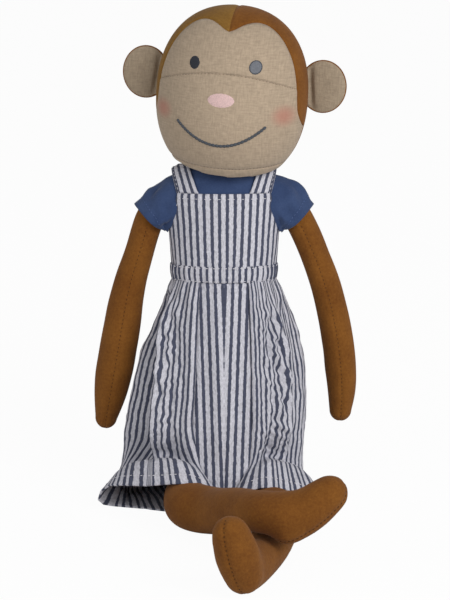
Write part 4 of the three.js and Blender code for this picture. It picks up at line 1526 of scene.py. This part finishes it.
        def place(u: float, v: float) -> Vector:
            """A point of the pad.

            Args:
                u: the share round.
                v: the share out from the middle.

            Returns:
                The point.
            """
            x = centre[0] + half[0] * v * cos(TAU * u)
            z = centre[1] + half[1] * v * sin(TAU * u)
            strand = 0.12 * cos(TAU * x / ridge)
            high = lift * (1 - v ** 3) + strand * (1 - v) ** 0.4 - 0.4
            return self.form.front(x, z) + self.form.normal(x, z) * high
        inside = self.form.front(*centre) - self.form.normal(*centre) * 5
        dress(sewn(f"{node}_stitches", (72, 22), place, inside, thread, cloth=0.4), "head", slot, (node,))

    def build_embroidery(self) -> None:
        """Makes the eyes, the nose and the mouth."""
        self.pad("right_eye", "slate_thread", self.eyes[0], 0.9, self.wardrobe.dark)
        self.pad("left_eye", "slate_thread", self.eyes[1], 0.9, self.wardrobe.grey)
        self.pad("nose", "pink_thread", self.nose, 1.1, self.wardrobe.pink)
        wide, ends, deep = self.mouth
        across = [lerp(-wide, wide, k / 140) for k in range(141)]
        mouth = self.form.line((x, ends - deep * (1 - (x / wide) ** 2)) for x in across)
        (x, z), _ = self.eyes[1]
        turns = [TAU * k / 48 for k in range(49)]
        ring = self.form.line((x + 3.5 * cos(turn), z + 3.8 * sin(turn)) for turn in turns)
        rope = stitched("mouth_stitches", [(mouth, MOUTH_STITCH), (ring, EYE_STITCH)], self.wardrobe.slate)
        dress(rope, "head", "slate_thread", ("mouth",))

    def build_ear(self, side: Side) -> None:
        """Makes one ear: a flat pouch, linen in front and jersey behind, pinched beside its root.

        Args:
            side: which ear.
        """
        out, back, height = self.ear
        centre = HEAD @ Vector((side.value * out, back, height))

        def shape(u: float, v: float, front: bool) -> Vector:
            """A point of the ear.

            Args:
                u: the share round.
                v: the share out from the middle.
                front: whether it is on the linen front.

            Returns:
                The point.
            """
            rim = self.ear_rim[0 if front else 1]
            x, z = rim * v * cos(TAU * u), (rim + self.ear_taller) * v * sin(TAU * u)
            swell = 2.7 * max(1 - v ** 2.6, 0.0) ** 0.75
            crease = 2.6 * bump(x + 0.1 * z, -7.0, 1.5) * (1 - v ** 4)
            dish = 0.8 * bump(v, 0.0, 0.6)
            depth = -(swell - crease - dish + 0.15) if front else swell * 0.9 + 0.05
            return HEAD @ Vector((side.value * (out + 0.4 + 1.04 * x), back + depth, height + z))
        # The linen front takes the darker copy of the linen, with painted shade
        for name, node, slot, front, material in (
            ("back_jersey", "back", "brown_jersey", False, self.wardrobe.jersey),
            ("front_linen", "front", "linen", True, self.wardrobe.painted_shade_linen),
        ):
            flat = (lambda u, v: (14 * v * cos(TAU * u), 16 * v * sin(TAU * u))) if front else None
            piece = sewn(f"{side.word}_ear_{name}", (64, 24), lambda u, v: shape(u, v, front), centre, material,
                         flat, self.ear_cloth)
            dress(piece, f"{side.word}_ear", slot, (f"{side.word}_ear_{node}",))

    def build(self) -> None:
        """Makes the whole head."""
        self.build_face()
        for side in Side:
            self.build_cap(side)
            self.build_ear(side)
        self.build_embroidery()


@dataclass
class Dungarees(Part):
    """The dungarees above the waist: bib, back panel, straps and gathered waistband."""

    torso: Torso
    waist: Pair = (141.7, 150.7)  # lower and upper height
    bib_top: float = 196.0
    back_top: float = 182.0
    bib_waist: float = 168.0  # height above which the bib narrows
    bib_wide: Triple = (36.8, 31.5, 29.0)  # half the bib's width there, half way up its curve and at its top
    strap_width: float = 13.5
    # The shares of a strap's length at which it comes over and goes down the shoulder
    over: Pair = (0.44, 0.56)
    grow: float = 2.8  # how far off the body its outside is
    cloth: float = 1.1  # thickness

    def around(self, height: float, turn: float) -> float:
        """How far round the body a turn from the front is, along the cloth."""
        wide, deep = self.torso.half(height)
        return (wide + deep + 2 * self.grow) / 2 * turn + (wide - deep) / 4 * sin(2 * turn)

    def bib_spot(self, u: float, v: float) -> Pair:
        """The height of a place on the bib, and how far round the front it is.

        Args:
            u: the share across.
            v: the share up.

        Returns:
            The height and the turn.
        """
        height = lerp(self.waist[1] - 1.0, self.bib_top, v)
        share = clamp((height - self.bib_waist) / (self.bib_top - self.bib_waist))
        low, middle, high = self.bib_wide
        half = low * (1 - share) ** 2 + 2 * middle * share * (1 - share) + high * share ** 2
        wide = self.torso.half(height)[0] + self.grow
        return height, lerp(-1, 1, u) * asin(clamp(half / wide))

    def bib(self, u: float, v: float) -> Vector:
        """The bib, from the waistband to its top edge.

        Args:
            u: the share across.
            v: the share up.

        Returns:
            The point.
        """
        height, turn = self.bib_spot(u, v)
        soft = 0.5 * noise.noise(Vector((turn * 1.6, height / 17, 3.0))) * sin(pi * clamp(v * 1.1))
        rumple = 0.55 * exp(-v * 6) * cos(26 * turn + 3 * sin(7 * turn))
        return self.torso.point(height, turn, self.grow + soft + rumple)

    def back(self, u: float, v: float) -> Vector:
        """The back panel, from the waistband to its top edge.

        Args:
            u: the share across.
            v: the share up.

        Returns:
            The point.
        """
        height = lerp(self.waist[1] - 1.0, self.back_top, v)
        turn = pi + lerp(-1.0, 1.0, u) * (pi / 2 - 0.02)
        rumple = 0.5 * exp(-v * 5) * cos(24 * turn)
        return self.torso.point(height, turn, self.grow + rumple)

    def strap_x(self, height: float, u: float) -> float:
        """How far out a place across a strap is at a height."""
        share = (height - self.bib_top) / 28
        return lerp(16 + 12 * share, 29.3 + 8.5 * share, u)

    def crest(self, x: float) -> float:
        """The height at which the shoulder turns over at a place across.

        Args:
            x: the place.

        Returns:
            The height.
        """
        height = self.torso.top
        while height > self.bib_top and self.torso.half(height)[0] + self.grow < x + 0.6:
            height -= 0.25
        return height

    def strap(self, side: Side, u: float, v: float) -> Vector:
        """A strap, from inside the bib's top edge over the shoulder to the back panel.

        Args:
            side: which strap.
            u: the share across, from its inner edge.
            v: the share along.

        Returns:
            The point.
        """
        x = 24.0
        tuck = 7
        up, down = self.over
        # The shoulder's height and the strap's place across depend on each other, so both are found in turns
        for _ in range(3):
            height = crest = self.crest(x)
            if v < up:
                height = lerp(self.bib_top - tuck, crest, sin(v / up * pi / 2))
            elif v > down:
                height = lerp(self.back_top - tuck, crest, sin((1 - v) / (1 - down) * pi / 2))
            x = self.strap_x(height, u)
        wide, deep = (half + self.grow for half in self.torso.half(min(height, self.torso.top)))
        half = deep * sqrt(max(1 - (x / wide) ** 2, 0.0))
        y = lerp(-half, half, clamp((v - up) / (down - up)))
        rise = self.grow * smoothstep(self.bib_top, self.torso.top, height)
        rise += 0.9 * sin(pi * clamp((v - 0.3) / 0.4))
        tucked = smoothstep(1.5, -1.0, height - (self.bib_top if y < 0 else self.back_top))
        proud = lerp(0.3, -1.5, tucked) * copysign(1, y) * smoothstep(0, 4, abs(y))
        return TRUNK @ Vector((side.value * x, y + proud, height + rise * 0.8))

    def band(self, u: float, v: float) -> Vector:
        """The waistband, a soft gathered roll round the waist.

        Args:
            u: the share round.
            v: the share up.

        Returns:
            The point.
        """
        turn = TAU * u
        height = lerp(self.waist[0] - 0.6, self.waist[1] + 0.6, v)
        belly = sin(pi * v)
        gather = 0.4 * cos(34 * turn + 2 * sin(5 * turn))
        gather += 0.3 * cos(61 * turn + 4 * sin(3 * turn))
        return self.torso.point(height, turn, self.grow + 0.3 + belly ** 0.7 + gather * (1.1 - 0.5 * belly))

    def build(self) -> None:
        """Makes the upper dungarees and their white stitch lines."""
        inside = TRUNK @ Vector((0, 0, 172))
        rows: List[Tuple[Seam, Stitch]] = []

        def piece(name: str, nodes: Sequence[str], grid: Tuple[int, int], place: Place, spot: Flat, cut: Pair,
                  held: str) -> None:
            """Makes one piece of striped cloth.

            Args:
                name: its name.
                nodes: the frame's solids that it replaces.
                grid: its faces across and along.
                place: where its points go.
                spot: the cloth's flat places.
                cut: not used.
                held: not used.
            """
            made = sewn(name, grid, place, inside, self.wardrobe.stripes, spot, self.cloth)
            dress(made, "torso", "striped_cotton", nodes)

        def row(place: Place, count: int, start: Pair, end: Pair, stitch: Stitch) -> None:
            """Adds a row of stitches, by its cloth, points, first and last shares and kind."""
            rows.append((surface_line(place, run_of(count, start, end), LOW, inside), stitch))

        piece("bib_cloth", ("bib",), (72, 60), self.bib,
              lambda u, v: (self.around(172, self.bib_spot(u, v)[1]), 46 * v), (0.084, 0.048), "stretched")
        row(self.bib, 90, (0.02, 0.93), (0.98, 0.93), BIB_STITCH)
        for edge in (0.03, 0.97):
            row(self.bib, 60, (edge, 0.45), (edge, 0.93), BIB_STITCH)
        piece("back_panel_cloth", ("back_panel",), (72, 40), self.back,
              lambda u, v: (self.around(165, lerp(-1.5, 1.5, u)), 32 * v), (0.092, 0.034), "stretched")
        row(self.back, 90, (0.03, 0.9), (0.97, 0.9), BIB_STITCH)
        for side in Side:
            place = partial(self.strap, side)
            long = distances([place(0.5, k / 60) for k in range(61)])[-1]
            piece(f"{side.word}_strap_cloth", (f"{side.word}_strap",), (14, 90), place,
                  lambda u, v: (self.strap_width * u - 1.0, long * v),
                  (self.strap_width * MM, long * MM), "stretched")
            for edge in (0.1, 0.9):
                row(place, 90, (edge, 0.08), (edge, 0.92), STRAP_STITCH)
        piece("waistband_cloth", ("waistband", "waist_elastic"), (240, 14), self.band,
              lambda u, v: (self.around(146, TAU * u) * 1.2, 10 * v), (0.24, 0.0115), "gathered")
        for v in (0.1, 0.9):
            run = run_of(240, (0.0, v), (1.0, v))
            rows.append((surface_line(self.band, run, PROUD, TRUNK @ Vector((0, 0, 146))), BAND_STITCH))
        dress(stitched("dungaree_stitches", rows, self.wardrobe.seam_white), "torso", "striped_cotton")


# Rings of the falling cloth in the trunk's frame: height, reach to the right, left, front and back
SKIRT = (
    (144.0, 31.6, 31.6, 24.6, 24.6), (116.0, 43.5, 44.0, 31.5, 28.0), (93.0, 52.5, 49.5, 37.0, 32.0),
    (72.0, 57.5, 51.5, 42.0, 34.0), (52.0, 61.5, 51.0, 47.0, 36.0),
)
TROUSER_CLOTH = 1.1


@dataclass
class TrouserLeg(Part):
    """One wide trouser leg: cloth from a front pleat round the side to the back, over the lap to its hem."""

    side: Side
    torso: Torso
    pleat: Tuple[float, ...]  # pleat's place on each ring, as a share of the way round from the front
    layer: Tuple[float, ...]  # where the front layer ends on each ring
    lap: Triple  # reach to the side and to the front of the lap, and to the back on the floor
    # The hem's points by their share of the way round on the lowest ring
    hem: Tuple[Tuple[float, float, float, float], ...]
    tuck: float  # how deep the fold behind the front layer's edge goes
    crumple: Triple  # a crumpled strip's share across the cloth, its width and its depth
    inward: float  # how far the pleat's foot is drawn to the middle
    layer_share: float = 0.2  # share of the cloth's width in the front layer
    lap_height: Triple = (34.5, 20.0, 5.0)  # lap's height in front, at the side and behind
    hem_band: float = 6.8  # hem's width
    gathered: float = 1.1  # how much closer the stripes stand for the fullness in the folds
    fullest: float = 0.45  # how far down the cloth it is fullest
    measured: int = 600  # steps across
    first_stripe: float = 18.0  # cloth's width in front of the pleat
    clearance: float = 2.2  # least way from the body to its outside
    above_lap: float = 60.0  # height down to which that holds

    def __post_init__(self) -> None:
        """Starts with no column laid out, and measures the cloth where it is fullest."""
        self.columns: Dict[float, Path] = {}
        self.across = distances([self.place(k / self.measured, self.fullest) for k in range(self.measured + 1)])

    def share_round(self, c: float, ring: int) -> float:
        """How far round from the front a column is on a ring.

        Args:
            c: the column.
            ring: the ring's number, from the waist down.

        Returns:
            The share of the half turn to the back.
        """
        if c < self.layer_share:
            return lerp(self.pleat[ring], self.layer[ring], c / self.layer_share)
        return lerp(self.layer[ring], 1.0, (c - self.layer_share) / (1 - self.layer_share))

    def ring_point(self, share: float, reach: float, deep: float, height: float) -> Vector:
        """A point on a ring of the trunk, by its share round, the ring's reach and depth, and its height."""
        turn = pi * share
        return TRUNK @ Vector((self.side.value * reach * sin(turn), -deep * cos(turn), height))

    def knee(self, c: float, share: float, over: float) -> Vector:
        """The point at which a column bends from its fall onto the lap or the floor.

        Args:
            c: the column.
            share: how far round it is on the lowest ring.
            over: how much of it lies over the leg.

        Returns:
            The point.
        """
        front, beside, behind = self.lap_height
        if share < 0.5:
            height, deep = lerp(front, beside, smoothstep(0.2, 0.5, share)), self.lap[1]
        else:
            height, deep = lerp(beside, behind, smoothstep(0.5, 0.62, share)), self.lap[2]
        knee = self.ring_point(share, self.lap[0], deep, height)
        knee += Vector((self.side.value * -3.0, 9.0, -1.5)) * over
        knee.x -= self.side.value * self.inward * (1 - smoothstep(0.0, 0.16, c))
        knee.z = max(knee.z, 0.7)
        return knee

    def column(self, c: float) -> Path:
        """One column of cloth, from the waist to the hem.

        Args:
            c: the column.

        Returns:
            Its line.
        """
        if c not in self.columns:
            points = []
            for k, (height, right, left, front, back) in enumerate(SKIRT):
                share = self.share_round(c, k)
                reach = right if self.side is Side.RIGHT else left
                points.append(self.ring_point(share, reach, front if share < 0.5 else back, height))
            share = self.share_round(c, len(SKIRT) - 1)
            over = (1 - smoothstep(0.36, 0.5, share)) * smoothstep(0.0, 0.12, c)
            knee = self.knee(c, share, over)
            x, y, z = table(share, self.hem)
            hem = Vector((self.side.value * x, y, z))
            self.columns[c] = Path([*points, knee, knee.lerp(hem, 0.5) + Vector((0.0, -1.5, 7.0)) * over, hem])
        return self.columns[c]

    def outward(self, c: float, v: float) -> Vector:
        """The way that folds stand off the cloth: out from the trunk, and up on the lap.

        Args:
            c: the share across.
            v: the share down.

        Returns:
            The direction.
        """
        turn = pi * self.share_round(c, 3)
        out = Vector((self.side.value * sin(turn), -cos(turn), 0.0))
        if turn < 1.9:
            out = out.lerp(Vector((0.0, -0.3, 1.0)), smoothstep(0.72, 0.86, v))
        return out.normalized()

    def fold(self, c: float, v: float) -> float:
        """How far the cloth stands out or in at a place.

        Args:
            c: the share across.
            v: the share down.

        Returns:
            The distance outward.
        """
        fall = 1 - smoothstep(0.6, 0.8, v)
        # Close gathers die out below the waistband, and the pleat's edge turns in under them
        gathers = 0.9 * exp(-v / 0.09) * cos(TAU * 15 * c + 2 * sin(TAU * 3 * c))
        pleat = 2.6 * exp(-c / 0.05) * fall - 4.5 * exp(-c / 0.008)
        # Wide soft folds hang down to the lap, fainter at the pleat and at the side
        soft = 2.6 * smoothstep(0.0, 0.3, v) * fall * cos(TAU * 3.4 * c + 1.2 + 0.8 * sin(3 * v))
        soft *= smoothstep(0.0, 0.12, c) * (1 - 0.85 * bump(c, 0.455, 0.1))
        # The front layer's edge stands proud of the tuck behind it
        reach = smoothstep(0.05, 0.17, v) * (1 - smoothstep(0.68, 0.84, v))
        past = c - self.layer_share
        behind = smoothstep(-0.004, 0.016, past) * (1 - smoothstep(0.08, 0.28, past))
        valley = reach * (2.2 * bump(past, -0.014, 0.02) - self.tuck * behind)
        # A strip is crumpled in short zigzags, and the whole cloth is a little rumpled
        rough = self.crumple[2] * bump(c, self.crumple[0], self.crumple[1]) * reach
        zigzag = rough * 2.6 * noise.noise(Vector((c * 13 + 2 * sin(v * 9), v * 38, 11.0)))
        zigzag += rough * 1.5 * cos(TAU * (13 * c + 0.8 * noise.noise(Vector((c * 6, v * 9, 2.0)))))
        rumple = 0.9 * noise.noise(Vector((c * 17, v * 14, self.side.value * 3.0)))
        rumple += 0.35 * noise.noise(Vector((c * 45, v * 36, self.side.value * 7.0)))
        tucked = smoothstep(0.0, 0.06, v)
        return (gathers + pleat) * tucked + soft + valley + zigzag + rumple * smoothstep(0.0, 0.1, v)

    def off_body(self, here: Vector) -> Vector:
        """A point of the cloth above the lap, moved out if a deep fold took it into the body.

        Args:
            here: the point.

        Returns:
            The point outside the body.
        """
        local = TO_TRUNK @ here
        if local.z < self.above_lap:
            return here
        wide, deep = (half + self.clearance for half in self.torso.half(local.z))
        out = min(hypot(local.x / wide, local.y / deep), 1.0)
        return TRUNK @ Vector((local.x / out, local.y / out, local.z))

    def place(self, c: float, v: float) -> Vector:
        """Where a point of the cloth goes.

        Args:
            c: the share across.
            v: the share down.

        Returns:
            The point.
        """
        here = self.column(c).at(v)
        here = here + self.outward(c, v) * self.fold(c, v) * (1 - 0.6 * smoothstep(0.93, 1.0, v))
        here = self.off_body(here)
        here.z = max(here.z, 0.6 + 0.4 * max(noise.noise(Vector((c * 30, v * 20, 1.0))), 0.0))
        return here

    def cloth_place(self, c: float, v: float) -> Pair:
        """The flat place of a point of the cloth: stripes run down the columns.

        Args:
            c: the share across.
            v: the share down.

        Returns:
            How far across and along the flat cloth it is.
        """
        k = min(int(c * self.measured), self.measured - 1)
        across = lerp(self.across[k], self.across[k + 1], c * self.measured - k)
        return (across + self.first_stripe) * self.side.value * self.gathered, self.column(c).length * v

    def blend(self, piece: Piece) -> None:
        """Bakes the cloth's place into its mesh."""
        f"{self.side.word}_leg"
        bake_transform(piece)

    def build(self) -> None:
        """Makes the trouser leg and its hem stitches."""
        word = self.side.word
        inside = Vector((self.side.value * 22, -6, 45))
        leg = sewn(f"{word}_trouser_cloth", (230, 140), self.place, inside, self.wardrobe.stripes,
                   self.cloth_place, TROUSER_CLOTH)
        self.blend(leg)
        finish_piece(leg, "striped_cotton", (f"{word}_trouser_leg",))
        columns = [lerp(0.03, 0.52, k / 240) for k in range(241)]
        run = [(c, 1 - self.hem_band / self.column(c).length) for c in columns]
        rows = [(surface_line(self.place, run, PROUD, inside), HEM_STITCH)]
        hem = stitched(f"{word}_trouser_hem_stitch", rows, self.wardrobe.seam_white)
        self.blend(hem)
        finish_piece(hem, "striped_cotton")


@dataclass
class FrontPanel(Part):
    """The trousers' middle front, set back between the two pleats, with a seam down its centre."""

    half: Tuple[float, ...] = (22.0, 23.5, 24.5, 25.5, 26.0)  # half its width on each ring of the skirt
    set_back: float = 2.2  # how far behind the pleats it lies
    lean: float = 4.5  # how far the stripes lean in to the centre seam as they fall
    seen: float = 0.82  # share of its length above the crotch
    stripe_length: float = 155.0  # length that the stripes are laid out on

    def __post_init__(self) -> None:
        """Starts with no column laid out."""
        self.columns: Dict[float, Path] = {}

    def column(self, u: float) -> Path:
        """One column of cloth, from the waist into the crotch.

        Args:
            u: the share across.

        Returns:
            Its line.
        """
        side = 2 * u - 1
        points = []
        for (height, right, left, front, _), half in zip(SKIRT, self.half):
            x = half * side
            back = self.set_back * (1 + 1.6 * smoothstep(13, 24, abs(x))) if points else 0.6
            y = -(front - back) * sqrt(max(1 - (x / (right if side < 0 else left)) ** 2, 0.0))
            points.append(TRUNK @ Vector((x, y, height)))
        lap = ((21.5 * side, -43.0 + 7 * side * side, 40.0), (14 * side, -47.0 + 2 * side * side, 31.0),
               (8 * side, -49.0, 20.0), (7 * side + 0.5, -40.0, 8.0), (5 * side, -24.0, 6.0))
        return Path([*points, *lap])

    def place(self, u: float, v: float) -> Vector:
        """Where a point of the cloth goes.

        Args:
            u: the share across.
            v: the share down.

        Returns:
            The point.
        """
        if u not in self.columns:
            self.columns[u] = self.column(u)
        here = self.columns[u].at(v)
        x = here.x
        v /= self.seen
        down = smoothstep(0.0, 0.25, v)
        seam = -1.2 * bump(x, 0.0, 1.6) * down
        gathers = 0.7 * exp(-v / 0.12) * cos(TAU * x / 5.5)
        soft = 1.3 * down * cos(TAU * x / 21 + 0.7 * sin(4 * v)) * (1 - smoothstep(0.75, 0.95, v))
        rumple = 0.8 * noise.noise(Vector((x / 9, v * 13, 5.0))) * down
        here.y -= seam + gathers + soft + rumple
        return here

    def cloth_place(self, u: float, v: float) -> Pair:
        """The flat place: stripes lean in to meet at the centre seam as they fall."""
        return abs(self.place(u, v).x) + self.lean * v / self.seen + 1.0, v * self.stripe_length

    def build(self) -> None:
        """Makes the panel."""
        panel = sewn("trouser_front_cloth", (80, 130), self.place, Vector((0, 10, 80)), self.wardrobe.stripes,
                     self.cloth_place, TROUSER_CLOTH)
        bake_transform(panel)
        finish_piece(panel, "striped_cotton")


@dataclass
class Studio:
    """The floor, the lights and the photograph's camera."""

    target: Triple = (0.6, 0.0, 130.7)  # place at the picture's middle
    distance: float = 1500.0
    elevation: float = 14.5  # degrees
    height: float = 372.0  # how much the picture's height spans there
    sensor: float = 36.0
    floor_half: float = 2500.0
    ambient: float = 0.31  # light from all round
    # Each light's name, place, size and watts
    lights: Tuple[Tuple[str, Triple, float, float], ...] = (
        ("key light", (800.0, -1000.0, 860.0), 800.0, 12.8),
        ("fill light", (-950.0, -900.0, 600.0), 900.0, 3.4),
    )

    def hang(self, data: bpy.types.ID, spot: Sequence[float]) -> Piece:
        """Puts a camera or a light at a place on the stage, looking at the target.

        Args:
            data: the camera's or the light's data.
            spot: its place.

        Returns:
            The new object.
        """
        made = bpy.data.objects.new(data.name, data)
        bpy.context.scene.collection.objects.link(made)
        made.location = [v * MM for v in spot]
        way = Vector(self.target) - Vector(spot)
        made.rotation_euler = way.to_track_quat("-Z", "Y").to_euler()
        return made

    def camera(self) -> None:
        """Sets the camera at the photograph's angle."""
        data = bpy.data.cameras.new("camera")
        data.sensor_width = self.sensor
        data.lens = self.sensor * self.distance / self.height
        data.clip_end = 20.0
        tilt = radians(self.elevation)
        x, y, z = self.target
        away = (x, y - self.distance * cos(tilt), z + self.distance * sin(tilt))
        bpy.context.scene.camera = self.hang(data, away)

    def floor(self) -> None:
        """Lays a pale floor that is nearly as bright as the background."""
        mesh = bmesh.new()
        bmesh.ops.create_grid(mesh, x_segments=1, y_segments=1, size=self.floor_half)
        paper = bpy.data.materials.new("white background paper")
        paper.use_nodes = True
        tree = paper.node_tree
        tree.nodes.clear()
        # Paper that glows to the camera keeps the photograph's white ground, and a little shading stays
        matt = add_node(tree, "BsdfDiffuse", {}, {"Color": (0.9, 0.9, 0.9, 1.0)})
        glow = add_node(tree, "Emission", {}, {"Strength": 1.0})
        rays = add_node(tree, "LightPath")
        share = add_node(tree, "Math", {"operation": "MULTIPLY"}, {0: (rays, "Is Camera Ray"), 1: 0.96})
        mix = add_node(tree, "MixShader", {}, {
            0: (share, "Value"), 1: (matt, "BSDF"), 2: (glow, "Emission")})
        add_node(tree, "OutputMaterial", {}, {"Surface": (mix, "Shader")})
        new_piece("floor", mesh, paper)

    def world(self) -> None:
        """Gives soft light from all round, and white behind the monkey."""
        world = bpy.data.worlds.new("studio")
        world.use_nodes = True
        tree = world.node_tree
        tree.nodes.clear()
        rays = add_node(tree, "LightPath")
        clear = add_node(tree, "Math", {"operation": "MAXIMUM"}, {
            0: (rays, "Is Camera Ray"), 1: (rays, "Is Glossy Ray")})
        seen = add_node(tree, "Math", {"operation": "MAXIMUM"}, {
            0: (clear, "Value"), 1: (rays, "Is Transmission Ray")})
        strength = add_node(tree, "MapRange", {}, {
            "Value": (seen, "Value"), "To Min": self.ambient, "To Max": 1.0})
        back = add_node(tree, "Background", {}, {
            "Color": (1.0, 1.0, 1.0, 1.0), "Strength": (strength, "Result")})
        add_node(tree, "OutputWorld", {}, {"Surface": (back, "Background")})
        bpy.context.scene.world = world

    def build(self) -> None:
        """Sets the whole studio up."""
        self.camera()
        self.floor()
        self.world()
        for name, spot, size, watts in self.lights:
            data = bpy.data.lights.new(name, "AREA")
            data.size, data.energy = size * MM, watts
            self.hang(data, spot)
        bpy.context.scene.view_settings.view_transform = "Standard"


# The hems: share of the way round, then x to the leg's own side, y and height
RIGHT_HEM = (
    (0.102, 1.5, -56.0, 21.0), (0.125, 8.0, -60.5, 27.5), (0.16, 18.5, -62.0, 32.0), (0.20, 30.5, -59.0, 31.0),
    (0.27, 48.0, -50.0, 26.5), (0.36, 60.0, -40.0, 23.5), (0.44, 71.0, -30.0, 20.5), (0.475, 77.0, -23.0, 14.0),
    (0.50, 79.0, -20.0, 7.0), (0.525, 75.5, -17.0, 2.5), (0.55, 69.0, -15.0, 0.8), (0.66, 51.0, -19.0, 0.6),
    (0.80, 26.0, -28.0, 0.6), (0.90, 8.0, -37.0, 0.8), (0.96, 3.0, -48.0, 9.0), (1.0, 3.5, -56.0, 22.0),
)
LEFT_HEM = (
    (0.11, 3.5, -56.0, 22.0), (0.135, 11.0, -60.5, 26.5), (0.18, 23.0, -62.0, 29.5), (0.24, 34.0, -61.5, 28.8),
    (0.33, 49.0, -60.0, 25.0), (0.42, 60.0, -57.0, 20.0), (0.47, 64.5, -54.0, 15.0), (0.50, 66.0, -50.0, 9.0),
    (0.55, 58.0, -42.0, 0.7), (0.66, 46.0, -36.0, 0.6), (0.80, 25.0, -31.0, 0.6), (0.90, 9.0, -38.0, 0.8),
    (0.96, 3.0, -49.0, 9.0), (1.0, 3.5, -56.0, 22.0),
)


def main() -> None:
    """Builds the monkey in order, from the body out, and sets the studio round it."""
    logging.basicConfig(level=logging.INFO, format="%(name)s: %(message)s")
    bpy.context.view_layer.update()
    wardrobe = Wardrobe()
    torso = Torso(wardrobe)
    for part in (
        torso,
        Shirt(wardrobe, torso),
        Arm(wardrobe, Side.RIGHT, ((18.5, 27.0), (25.5, 51.0), (33.0, 92.0), (38.5, 123.0), (41.0, 137.0)),
            forearm=11.7, puffed=0.8, torso=torso),
        Arm(wardrobe, Side.LEFT, ((21.0, 26.0), (32.0, 58.0), (38.5, 92.0), (40.5, 119.0), (40.0, 132.0)),
            forearm=9.9, puffed=4.0, torso=torso),
        Leg(wardrobe, Side.RIGHT,
            ((-19, -16), (-22, -40), (-20.6, -60), (-6, -77), (9.4, -107), (23, -131), (34, -137)),
            lifts=(0.0, 0.04, 0.1, 0.28, 0.8, 1.06, 1.08), heel=(3, -1, -6), toe=(0.79, 0.16, 0.59),
            sole=(0.4, -0.72, -0.5), foot=53.0),
        Leg(wardrobe, Side.LEFT, ((19, -16), (27, -45), (31, -80), (26.5, -115), (17.5, -143), (12, -156)),
            lifts=(0.0,) * 6, heel=(-1, -11, 1.8), toe=(-0.26, -0.14, 0.95),
            sole=(-0.32, -0.94, -0.2), foot=50.0),
        Head(wardrobe, HeadForm()),
        Dungarees(wardrobe, torso),
        TrouserLeg(wardrobe, Side.RIGHT, torso, pleat=(0.155, 0.124, 0.108, 0.104, 0.102),
                   layer=(0.37, 0.343, 0.275, 0.26, 0.253), lap=(66.0, 50.0, 37.0), hem=RIGHT_HEM, tuck=18.0,
                   crumple=(0.13, 0.08, 0.7), inward=6.0),
        TrouserLeg(wardrobe, Side.LEFT, torso, pleat=(0.155, 0.12, 0.11, 0.107, 0.11),
                   layer=(0.33, 0.285, 0.275, 0.275, 0.28), lap=(50.0, 50.0, 37.0), hem=LEFT_HEM, tuck=4.0,
                   crumple=(0.14, 0.12, 1.0), inward=1.5),
        FrontPanel(wardrobe),
    ):
        part.build()
    Studio().build()


if __name__ == "__main__":
    main()
